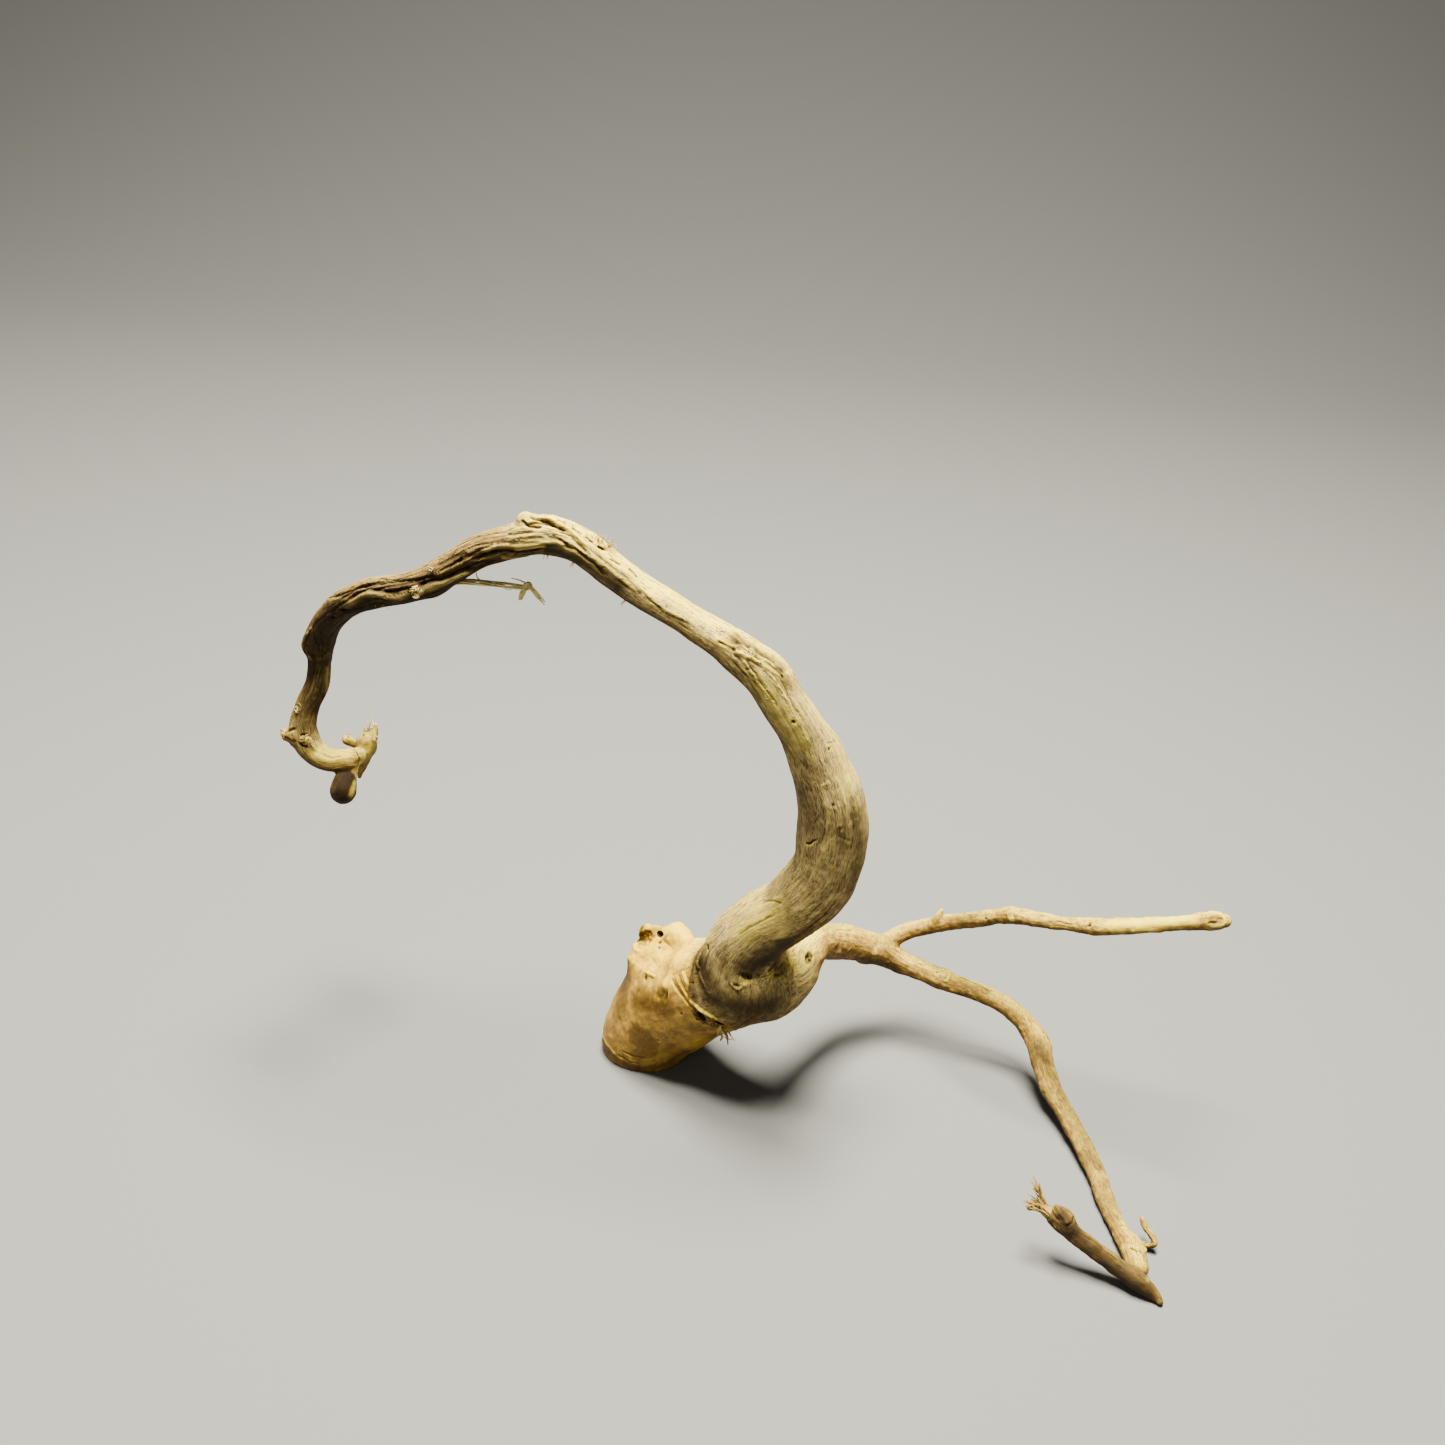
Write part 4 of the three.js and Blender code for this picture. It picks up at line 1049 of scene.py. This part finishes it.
def rims(faces):
    """Loops of edges that only one face has, to be filled by a cap."""
    edge = np.concatenate([faces[:, [i, (i + 1) % 4]] for i in range(4)])
    key = edge.min(1) * 2 ** 32 + edge.max(1)  # one number for an edge's two corners
    _, where, count = np.unique(key, return_index=True, return_counts=True)
    rim = edge[where[count == 1]]
    after = {int(b): int(a) for a, b in rim}
    loops = []
    while after:
        start = next(iter(after))
        loop = [start]
        step = after.pop(start)
        while step != start and step in after:
            loop.append(step)
            step = after.pop(step)
        loops.append(loop)
    return loops


def make_piece(name, skin, faces, material):
    """An object of some of the skin's faces, closed where it is cut from the rest."""
    used = np.unique(faces)
    local = np.full(len(skin.verts), -1)
    local[used] = np.arange(len(used))
    verts = skin.verts[used]
    quads = local[faces]

    # Caps that close it: a fan of triangles around the middle of each rim
    loops = [loop for loop in rims(quads) if len(loop) > 2]
    middles = np.array([verts[loop].mean(0) for loop in loops]).reshape(-1, 3)
    caps = []
    for n, loop in enumerate(loops):
        hub = len(verts) + n
        caps += [(loop[i], loop[(i + 1) % len(loop)], hub) for i in range(len(loop))]
    caps = np.array(caps, int).reshape(-1, 3)

    every = np.vstack([verts, middles]) * MM
    mesh = bpy.data.meshes.new(name)
    mesh.vertices.add(len(every))
    mesh.vertices.foreach_set("co", every.ravel())
    mesh.loops.add(quads.size + caps.size)
    mesh.loops.foreach_set("vertex_index", np.concatenate([quads.ravel(), caps.ravel()]))
    mesh.polygons.add(len(quads) + len(caps))
    sizes = np.concatenate([np.full(len(quads), 4), np.full(len(caps), 3)])
    mesh.polygons.foreach_set("loop_start", np.concatenate([[0], np.cumsum(sizes)[:-1]]))
    mesh.update(calc_edges=True)
    mesh.validate()

    # Tones, grain and smooth normals at the corners, plain at the caps' middles
    pad = len(middles)
    for label, values in skin.tone.items():
        layer = mesh.attributes.new(label, "FLOAT", "POINT")
        layer.data.foreach_set("value", np.concatenate([values[used], np.zeros(pad)]).astype(np.float32))
    layer = mesh.attributes.new("grain", "FLOAT_VECTOR", "POINT")
    layer.data.foreach_set("vector", np.vstack([skin.grain[used], np.zeros((pad, 3))]).astype(np.float32).ravel())
    normals = np.vstack([skin.normal[used], np.tile([0.0, 0.0, 1.0], (pad, 1))])
    mesh.normals_split_custom_set_from_vertices(normals)
    mesh.materials.append(material)
    return add_object(name, mesh)


# ---------------------------------------------------------------- camera, light and floor
def stage():
    """The camera of the photograph, a lamp overhead, a faint one in front and a plain floor."""
    data = bpy.data.cameras.new("Camera")
    camera = add_object("Camera", data)
    data.sensor_width = SENSOR
    data.lens = SENSOR * FOCAL / IMAGE
    axes = Matrix((RIGHT, -DOWN, -LOOK)).transposed().to_4x4()
    camera.matrix_world = Matrix.Translation(Vector(EYE * MM)) @ axes
    bpy.context.scene.camera = camera

    def area(name, place, target, size, power, tint):
        lamp = bpy.data.lights.new(name, "AREA")
        lamp.shape, lamp.size, lamp.size_y = "RECTANGLE", size[0], size[1]
        lamp.energy, lamp.color = power, tint
        holder = add_object(name, lamp)
        holder.location = place
        holder.rotation_euler = (Vector(target) - Vector(place)).to_track_quat("-Z", "Y").to_euler()

    area("Key", (0.0, 0.04, 1.25), (0.03, 0.02, 0.08), (0.6, 0.35), 112.0, (1.0, 0.93, 0.73))
    area("Front", (-0.25, -1.1, 0.85), (0.03, 0, 0.1), (0.8, 0.5), 1.5, (1.0, 0.96, 0.88))
    world = bpy.data.worlds.new("World")
    world.use_nodes = True
    world.node_tree.nodes["Background"].inputs["Color"].default_value = (1.0, 0.98, 0.94, 1)
    world.node_tree.nodes["Background"].inputs["Strength"].default_value = 0.07
    bpy.context.scene.world = world

    start, bend, half_width, height = 1.0, 1.2, 4.0, 3.2  # where the floor bends up, its radius and size, m
    profile = [(-3.0, 0.0), (0.5, 0.0), (start, 0.0)]
    for turn in np.radians(range(5, 91, 5)):
        profile.append((start + bend * math.sin(turn), bend - bend * math.cos(turn)))
    profile.append((start + bend, height))
    verts = [(x, y, z) for y, z in profile for x in (-half_width, half_width)]
    faces = [(2 * i, 2 * i + 1, 2 * i + 3, 2 * i + 2) for i in range(len(profile) - 1)]
    mesh = bpy.data.meshes.new("Floor")
    mesh.from_pydata(verts, [], faces)
    mesh.shade_smooth()
    paint = bpy.data.materials.new("Floor")
    paint.use_nodes = True
    shader = paint.node_tree.nodes["Principled BSDF"]
    shader.inputs["Base Color"].default_value = (0.165, 0.17, 0.18, 1)
    shader.inputs["Roughness"].default_value = 0.9
    mesh.materials.append(paint)
    floor = add_object("Floor", mesh)


# ---------------------------------------------------------------- materials
class Paint:
    """A material made of nodes."""

    def __init__(self, name):
        self.material = bpy.data.materials.new(name)
        self.material.use_nodes = True
        self.tree = self.material.node_tree
        self.shader = self.tree.nodes["Principled BSDF"]

    def put(self, socket, value):
        """Links a node's output to a socket, or sets a plain value on it."""
        if isinstance(value, bpy.types.NodeSocket):
            self.tree.links.new(value, socket)
        else:
            socket.default_value = value

    def node(self, kind, inputs, **settings):
        """A node with its inputs by name or number."""
        made = self.tree.nodes.new("ShaderNode" + kind)
        for key, value in settings.items():
            setattr(made, key, value)
        for key, value in inputs.items():
            self.put(made.inputs[key], value)
        return made

    def value(self, name):
        """A tone of the mesh."""
        return self.node("Attribute", {}, attribute_name=name).outputs["Fac"]

    def math(self, how, a, b=0.0, c=0.0, clamp=False):
        """A calculation with numbers."""
        return self.node("Math", {0: a, 1: b, 2: c}, operation=how, use_clamp=clamp).outputs[0]

    def vector(self, how, a, b, c=(0.0, 0.0, 0.0)):
        """A calculation with vectors."""
        return self.node("VectorMath", {0: a, 1: b, 2: c}, operation=how).outputs[0]

    def noise(self, vector, scale, detail, rough=0.5):
        """Smooth noise from 0 to 1, mostly near 0.5."""
        made = self.node("TexNoise", {"Vector": vector, "Scale": scale, "Detail": detail, "Roughness": rough})
        return made.outputs["Fac"]

    def mix(self, share, a, b, how="MIX"):
        """A mix of colours, for which the node has inputs 6 and 7 and output 2."""
        return self.node("Mix", {0: share, 6: a, 7: b}, data_type="RGBA", blend_type=how).outputs[2]

    def ramp(self, value, stops):
        """A colour by value, from stops of a place and a colour."""
        made = self.node("ValToRGB", {"Fac": value})
        spread = made.color_ramp.elements
        for _ in range(len(stops) - 2):
            spread.new(0.5)
        for element, (at, colour) in zip(spread, stops):
            element.position, element.color = at, (*colour, 1)
        return made.outputs["Color"]

    def span(self, value, low, high, out_low, out_high):
        """Carries low to high over to out_low to out_high."""
        inputs = {"Value": value, 1: low, 2: high, 3: out_low, 4: out_high}
        return self.node("MapRange", inputs).outputs["Result"]


def wood(name):
    """Wood without its bark: streaks along the grain, clouds of tone, painted shade in its folds and on its
    undersides, painted light on its tops, and a satin finish.
    """
    p = Paint(name)
    # Streaks along the grain, clouds and specks
    tone = {n: p.value(n) for n in TONES}
    grain = p.node("Attribute", {}, attribute_name="grain").outputs["Vector"]
    place = p.node("TexCoord", {}).outputs["Object"]
    drift = p.node("TexNoise", {"Vector": place, "Scale": 170.0, "Detail": 2.0}).outputs["Color"]
    along = p.vector("MULTIPLY", p.vector("MULTIPLY_ADD", drift, (1.8, 1.8, 4.0), grain), (1.0, 1.0, 0.06))
    slant = p.math("MULTIPLY", p.node("SeparateXYZ", {"Vector": grain}).outputs["Z"], 0.22)
    crossed = p.vector("ADD", along, p.node("CombineXYZ", {"X": slant, "Y": slant}).outputs["Vector"])
    straight, askew = p.noise(along, 2.6, 6.0, 0.66), p.noise(crossed, 2.9, 5.0, 0.66)
    fine = p.math("MULTIPLY_ADD", straight, 0.58, p.math("MULTIPLY", askew, 0.42))
    broad = p.noise(along, 0.55, 3.0)
    cloud = p.noise(place, 85.0, 4.0, 0.6)
    speck = p.noise(place, 1300.0, 3.0, 0.6)

    streaks = p.math("MULTIPLY_ADD", fine, 0.54, p.math("MULTIPLY_ADD", broad, 0.2, p.math("MULTIPLY", cloud, 0.26)))
    blotches = p.math("MULTIPLY_ADD", cloud, 0.55, p.math("MULTIPLY_ADD", broad, 0.25, p.math("MULTIPLY", speck, 0.2)))

    # The kinds of wood
    tan = p.ramp(streaks, [(0.41, (0.18, 0.126, 0.06)), (0.47, (0.37, 0.27, 0.12)), (0.53, (0.57, 0.42, 0.17)),
                           (0.60, (0.84, 0.63, 0.17))])
    honey = p.ramp(blotches, [(0.38, (0.21, 0.12, 0.024)), (0.47, (0.35, 0.205, 0.042)), (0.56, (0.50, 0.295, 0.05)),
                              (0.66, (0.76, 0.45, 0.03))])
    peeled = p.ramp(blotches, [(0.38, (0.21, 0.118, 0.03)), (0.47, (0.29, 0.165, 0.042)), (0.55, (0.39, 0.23, 0.056)),
                               (0.63, (0.53, 0.325, 0.07))])
    colour = p.mix(tone["peeled"], tan, peeled)
    colour = p.mix(tone["honey"], colour, honey)
    colour = p.mix(tone["brown"], colour, (0.16, 0.125, 0.085, 1), "MULTIPLY")

    # Painted light on upward faces, and worn places
    # the colour of painted light on upward faces, of worn places and of highlights
    bright = p.ramp(tone["honey"], [(0.0, (0.94, 0.755, 0.06)), (1.0, (0.93, 0.61, 0.012))])
    # in painted shade on undersides, and on brown wood, the light colour turns browner
    bright = p.mix(p.math("MAXIMUM", tone["under"], tone["brown"]), bright, (0.52, 0.375, 0.12, 1))
    clean = p.math("MULTIPLY_ADD", tone["honey"], 0.3, p.span(fine, 0.42, 0.54, 0.15, 0.85), clamp=True)
    colour = p.mix(p.math("MULTIPLY", tone["painted_top_light"], clean), colour, bright)
    colour = p.mix(p.math("MULTIPLY", tone["worn"], clean), colour, bright)

    # Grain lines, painted shade in concave folds and on undersides, and a cool tint
    bark = p.math("MULTIPLY_ADD", tone["honey"], -0.8, 1.0)
    lines = p.math("MULTIPLY", p.span(fine, 0.43, 0.48, 0.75, 0.0), bark, clamp=True)
    colour = p.mix(lines, colour, (0.40, 0.33, 0.24, 1), "MULTIPLY")
    # painted shade in concave folds
    colour = p.mix(p.math("MULTIPLY", tone["crease_shade"], 0.9), colour, (0.26, 0.205, 0.155, 1), "MULTIPLY")
    # painted shade on the undersides
    colour = p.mix(tone["under"], colour, (0.22, 0.172, 0.12, 1), "MULTIPLY")
    colour = p.mix(tone["cool"], colour, (0.40, 0.38, 0.32, 1), "MULTIPLY")

    # Marks: stains, painted shade, light wood and painted highlights, crumbs, and the deepest painted shade
    ragged = p.math("MULTIPLY", tone["stain"], p.span(cloud, 0.35, 0.6, 0.75, 1.1), clamp=True)
    colour = p.mix(ragged, colour, p.ramp(speck, [(0.35, (0.10, 0.05, 0.006)), (0.65, (0.21, 0.108, 0.016))]))
    # painted shade: a deep brown laid over the places that the lamp doesn't reach
    colour = p.mix(tone["haze"], colour, (0.12, 0.094, 0.065, 1), "MULTIPLY")
    shade_tint = p.math("MULTIPLY", tone["haze"], p.math("MULTIPLY_ADD", tone["honey"], -0.4, 0.4))
    colour = p.mix(shade_tint, colour, (0.062, 0.043, 0.021, 1))
    # light wood and painted highlights
    colour = p.mix(p.math("MULTIPLY", tone["pale"], 0.75), colour, bright)
    crumbs = p.math("MULTIPLY", tone["rough"], p.span(speck, 0.42, 0.58, 1.0, 0.0), clamp=True)
    colour = p.mix(crumbs, colour, (0.045, 0.024, 0.01, 1))
    # the deepest painted shade: inside holes, cuts, cracks and pits, and in the most shaded places
    colour = p.mix(tone["dark"], colour, (0.014, 0.007, 0.0025, 1))
    p.put(p.shader.inputs["Base Color"], colour)

    # Finish and the finest relief
    matt = p.span(blotches, 0.35, 0.65, 0.86, 0.70)
    satin = p.span(blotches, 0.35, 0.65, 0.56, 0.40)
    gloss = p.math("MAXIMUM", tone["honey"], p.math("MULTIPLY", tone["peeled"], 0.5))
    rough = p.node("Mix", {0: gloss, 2: matt, 3: satin}, data_type="FLOAT").outputs[0]
    p.put(p.shader.inputs["Roughness"], rough)
    p.put(p.shader.inputs["Specular IOR Level"], 0.1)
    fibre = p.math("MULTIPLY", fine, p.math("MULTIPLY_ADD", tone["honey"], -0.85, 1.0))
    crumble = p.math("MULTIPLY", speck, p.math("MULTIPLY_ADD", tone["rough"], 1.6, 0.16))
    bump = p.node("Bump", {"Height": p.math("ADD", fibre, crumble), "Strength": 0.7, "Distance": 0.0007})
    p.put(p.shader.inputs["Normal"], bump.outputs["Normal"])
    return p.material


def bast(name, deep, light):
    """Stringy fibre: streaked along each strand."""
    p = Paint(name)
    strand = p.node("Attribute", {}, attribute_name="strand").outputs["Vector"]
    place = p.node("TexCoord", {}).outputs["Object"]
    streak = p.noise(p.vector("MULTIPLY", strand, (6.0, 3.0, 0.35)), 1.0, 4.0, 0.6)
    cloud = p.noise(place, 420.0, 3.0)
    value = p.math("MULTIPLY_ADD", streak, 0.6, p.math("MULTIPLY", cloud, 0.4))
    p.put(p.shader.inputs["Base Color"], p.ramp(value, [(0.36, deep), (0.62, light)]))
    p.put(p.shader.inputs["Roughness"], p.span(streak, 0.3, 0.7, 0.85, 0.6))
    bump = p.node("Bump", {"Height": streak, "Strength": 0.5, "Distance": 0.0002})
    p.put(p.shader.inputs["Normal"], bump.outputs["Normal"])
    return p.material


# ---------------------------------------------------------------- strands
def on_plane(u, v, y):
    """The point at depth y that shows at a pixel of the photograph."""
    ray = LOOK + RIGHT * (u - IMAGE / 2) / FOCAL + DOWN * (v - IMAGE / 2) / FOCAL
    return EYE + ray * (y - EYE[1]) / ray[1]


def drawn(y, pixels, du=0, dv=0):
    """A line at depth y along pixels of the photograph, all moved by du, dv."""
    return [on_plane(u + du, v + dv, y) for u, v in pixels]


def bent_line(points, count):
    """A smooth line of count points through the given ones."""
    points = np.array(points, float)
    if len(points) == 2:
        return points[0] + (points[1] - points[0]) * np.linspace(0, 1, count)[:, None]
    limb = Limb([(*q, 1.0) for q in points])
    at = np.linspace(0, limb.length, count)
    return np.array([limb.at(limb.line, np.array([a]))[0] for a in at])


class Strands:
    """Tapered strands joined in one mesh."""

    def __init__(self, seed):
        self.random = np.random.default_rng(seed)
        self.verts, self.faces, self.strand = [], [], []
        self.count = 0

    def add(self, points, start, end, count, flat=1.0, middle=None):
        """One strand of count rings: its radius runs from start to end, in mm, by way of middle."""
        line = bent_line(points, count)
        tangent = unit(np.gradient(line, axis=0))
        across = np.cross(tangent[0], [0.31, 0.27, 0.91])  # any way that no strand runs
        run = distances(line)
        share = run / run[-1]
        radius = np.interp(share, [0, 0.5, 1], [start, (start + end) / 2 if middle is None else middle, end])
        base, tint = self.count, self.random.uniform(0, 40)
        for i in range(count):
            across = across - (across @ tangent[i]) * tangent[i]
            across /= np.linalg.norm(across)
            other = np.cross(tangent[i], across)
            for k in range(SIDES):
                a = 2 * math.pi * k / SIDES
                self.verts.append(line[i] + radius[i] * (math.cos(a) * across + flat * math.sin(a) * other))
                self.strand.append((tint + math.cos(a), tint + math.sin(a), run[i]))
        for i in range(count - 1):
            for k in range(SIDES):
                a, b = base + i * SIDES + k, base + i * SIDES + (k + 1) % SIDES
                self.faces.append((a, b, b + SIDES, a + SIDES))
        self.faces.append(tuple(base + k for k in range(SIDES))[::-1])
        self.faces.append(tuple(base + (count - 1) * SIDES + k for k in range(SIDES)))
        self.count += count * SIDES

    def jitter(self, size):
        """A small random step."""
        return self.random.normal(0, size, 3)

    def piece(self, name, material):
        """The strands as an object."""
        mesh = bpy.data.meshes.new(name)
        mesh.from_pydata([tuple(v * MM) for v in self.verts], [], self.faces)
        mesh.shade_smooth()
        layer = mesh.attributes.new("strand", "FLOAT_VECTOR", "POINT")
        layer.data.foreach_set("vector", np.array(self.strand, np.float32).ravel())
        mesh.materials.append(material)
        return add_object(name, mesh)


def loose_fibre():
    """The strand of bark fibre under the arch: a few filaments, a bow, a leaf and two legs."""
    s = Strands(7)
    main = [(-69, -14.5, 184.8), (-63, -14.5, 186), (-56, -15.5, 186.6), (-50, -16, 186.7), (-43, -16.5, 186.6)]
    for k in range(6):
        turn = [np.array(q) + 0.7 * np.array([0, math.cos(0.7 * i + 1.05 * k), math.sin(0.7 * i + 1.05 * k)])
                for i, q in enumerate(main)]
        s.add(turn, 0.5, 0.34, flat=0.7, count=22)
    bow = ((521, 589), (525, 585), (529, 583), (531, 586), (528, 589), (524, 588))
    s.add(drawn(-16.6, bow), 0.6, 0.5, count=20)
    for du, dv in ((0, 0), (1.4, -1.4), (0.6, 1.2)):
        leg = drawn(-17, ((527, 585), (532, 590), (537, 596), (541, 600), (544, 604)), du, dv)
        s.add(leg, 0.4, 0.16, flat=0.7, count=16, middle=0.65)
    for du in (-1.2, 0.2, 1.4):
        leaf = drawn(-16.7, ((525, 588), (522, 594), (520, 600)), du)
        s.add(leaf, 0.4, 0.2, flat=0.6, count=10, middle=0.6)
    for y, pixels, start, end, count in [(-16.2, ((511, 578), (519, 580), (528, 584)), 0.12, 0.3, 12),
                                         (-15.2, ((476, 572), (477, 577), (482, 582)), 0.14, 0.3, 10),
                                         (-15.0, ((466, 583), (480, 581), (492, 584)), 0.14, 0.2, 12),
                                         (-16.0, ((500, 584), (508, 590), (514, 588)), 0.16, 0.1, 10)]:
        s.add(drawn(y, pixels), start, end, count=count)
    return s


def brush():
    """The frayed end of the front twig: fibres that run along the twig to a low fan and an upright tuft."""
    s = Strands(11)
    way = np.array([-0.81, 0.29, 0.5])  # the way the twig's end points
    out = np.cross(way, [0, 0, 1.0])
    up = np.cross(out, way)
    foot, neck = np.array([137.6, -85.4, 16.4]), np.array([132.6, -83.9, 18.9])

    # The low fan
    fan = [((127.2, -82.6, 18.0), 20, 1.0), ((126.6, -82.4, 20.2), 20, 0.9), ((128.4, -82.4, 22.4), 12, 0.8)]
    for tip, many, spread in fan:
        for _ in range(many):
            turn, reach = s.random.uniform(0, 2 * math.pi), s.random.uniform(0.6, 1.0)
            rim = reach * (math.cos(turn) * out + math.sin(turn) * up)
            end = np.array(tip) + s.jitter(spread) + (neck - tip) * s.random.uniform(-0.02, 0.35)
            s.add([foot + 2.5 * rim, neck + 1.9 * rim, end + 0.5 * rim], 0.4, s.random.uniform(0.08, 0.2), count=12,
                  middle=s.random.uniform(0.3, 0.46))

    # The upright tuft
    for _ in range(16):
        start = np.array([133.4, -84.0, 18.6]) + s.jitter(0.5)
        end = np.array([128.9, -80.8, 27.4]) + s.jitter(0.9) + (0, 0, s.random.uniform(-2.5, 0.8))
        middle = np.array([131.0, -82.2, 23.0]) + s.jitter(0.3)
        s.add([start, middle, end], 0.42, s.random.uniform(0.06, 0.14), count=10, middle=s.random.uniform(0.26, 0.38))
    return s


# Torn fibres: pixels of the photograph they stand along, how many, their way in pixels and their radius in mm
FUZZ = [
    ([(596, 540), (604, 543)], 14, (2, -7), 0.13), ([(606, 545), (615, 549)], 12, (3, -5), 0.13),
    ([(560, 521), (590, 536)], 10, (4, -3), 0.12), ([(732, 646), (746, 653), (758, 659), (768, 666)], 26, (5, 2), 0.2),
    ([(700, 626), (728, 634)], 8, (4, -3), 0.12), ([(302, 704), (294, 722)], 10, (-4, -3), 0.13),
    ([(285, 730), (284, 740)], 22, (-3, -1), 0.26), ([(417, 586), (420, 597)], 22, (-6, 1), 0.24),
    ([(372, 606), (420, 603)], 3, (1, 3), 0.1), ([(535, 556), (549, 556)], 4, (1, 4), 0.12),
    ([(571, 564), (578, 570)], 3, (-3, 4), 0.12), ([(620, 600), (628, 606)], 3, (0, 4), 0.12),
    ([(372, 724), (362, 736)], 16, (-2, -4), 0.2), ([(376, 730), (374, 742)], 8, (5, 1), 0.14),
    ([(345, 737), (350, 736)], 6, (-1, -3), 0.16), ([(440, 566), (430, 570)], 6, (-4, -2), 0.14),
    ([(760, 690), (790, 720)], 8, (4, 4), 0.13), ([(719, 1026), (727, 1028)], 5, (0, 6), 0.2),
    ([(300, 736), (312, 746)], 10, (2, -2), 0.25),
]


def splinters(skin):
    """Torn splinters on the hook's spur, and short hairs that stand off the bark."""
    s = Strands(13)
    # The spur's splinters
    stem = np.array([-98.6, 6, 117.6])
    tips = [((376, 722), 5.9, 1.0), ((378, 727), 5.5, 0.7), ((369, 727), 5.2, 0.9), ((372, 731), 4.8, 0.9),
            ((362, 732), 5.0, 0.7), ((366, 729), 6.4, 0.7), ((379, 735), 5.6, 0.8)]
    for (u, v), y, thick in tips:
        tip = on_plane(u, v, y)
        start = stem + s.jitter(0.7) + (0, 0, -1.2)
        s.add([start, start * 0.45 + tip * 0.55 + s.jitter(0.2), tip], thick, 0.12, count=9, flat=0.7)

    # Hairs, in tufts of about five
    for line, many, (du, dv), thick in FUZZ:
        line = np.array(line, float)
        at = np.linspace(0, 1, len(line))
        tufts = [(s.random.uniform(), *s.random.normal(0, 1.6, 2)) for _ in range(1 + many // 5)]
        for k in range(many):
            share, bu, bv = tufts[k % len(tufts)]
            share, long = np.clip(share + s.random.normal(0, 0.08), 0, 1), s.random.uniform(0.35, 1.2)
            u, v = (np.interp(share, at, line[:, a]) + s.random.normal(0, 0.7) for a in range(2))
            spot = skin.spot(u, v)
            tip_u = u + long * (du + bu) + s.random.normal(0, 0.8)
            tip_v = v + long * (dv + bv) + s.random.normal(0, 0.8)
            tip = on_plane(tip_u, tip_v, spot[1] + s.random.uniform(-0.8, 0.2))
            bend = s.jitter(0.28 * np.linalg.norm(tip - spot))
            s.add([spot, spot * 0.5 + tip * 0.5 + bend, tip], thick, 0.4 * thick, count=7)
    return s


def flake(skin):
    """The torn rag of bark under the lip."""
    s = Strands(17)
    flaps = [([(721, 1029), (724, 1034), (730, 1040)], 1.0), ([(724, 1030), (727, 1037), (728, 1045)], 0.9),
             ([(728, 1030), (731, 1036), (735, 1041)], 0.7), ([(719, 1034), (726, 1038), (733, 1040)], 0.6),
             ([(722, 1033), (722, 1037), (720, 1041)], 0.5)]
    for pixels, wide in flaps:
        line = [skin.spot(*pixels[0])]
        line += [on_plane(u, v, skin.spot(u, v)[1] - s.random.uniform(0.3, 1.1)) for u, v in pixels[1:]]
        s.add(line, 0.7 * wide, 0.2, count=9, flat=0.25, middle=wide)
    return s


def attach(piece, nodes):
    """Puts a piece on the body in place of its nodes."""
    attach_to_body(piece, "root")
    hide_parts(*nodes)
    print(piece.name, sum(len(f.vertices) - 2 for f in piece.data.polygons), "triangles")


def main():
    """The stage, the skin in its pieces and the strands."""
    stage()
    skin, faces = build_skin()
    paints = {slot: wood(slot) for slot in ("stump_wood", "trunk_wood", "branch_wood", "twig_wood")}
    owner = regions(skin.verts[faces].mean(1))
    for name, nodes, slot in PIECES:
        attach(make_piece(name, skin, faces[owner == name], paints[slot]), nodes)
    fibre = bast("bast_fibre", (0.30, 0.21, 0.06), (0.80, 0.64, 0.22))
    attach(loose_fibre().piece("fibre", fibre), ["loose_fibre"])
    brown_fibre = bast("brush_fibre", (0.10, 0.055, 0.01), (0.52, 0.36, 0.08))
    attach(brush().piece("brush", brown_fibre), ["front_twig"])
    attach(flake(skin).piece("flake", brown_fibre), ["arch_trunk"])
    attach(splinters(skin).piece("splinters", fibre), ["hook_spur", "arch_trunk"])


main()
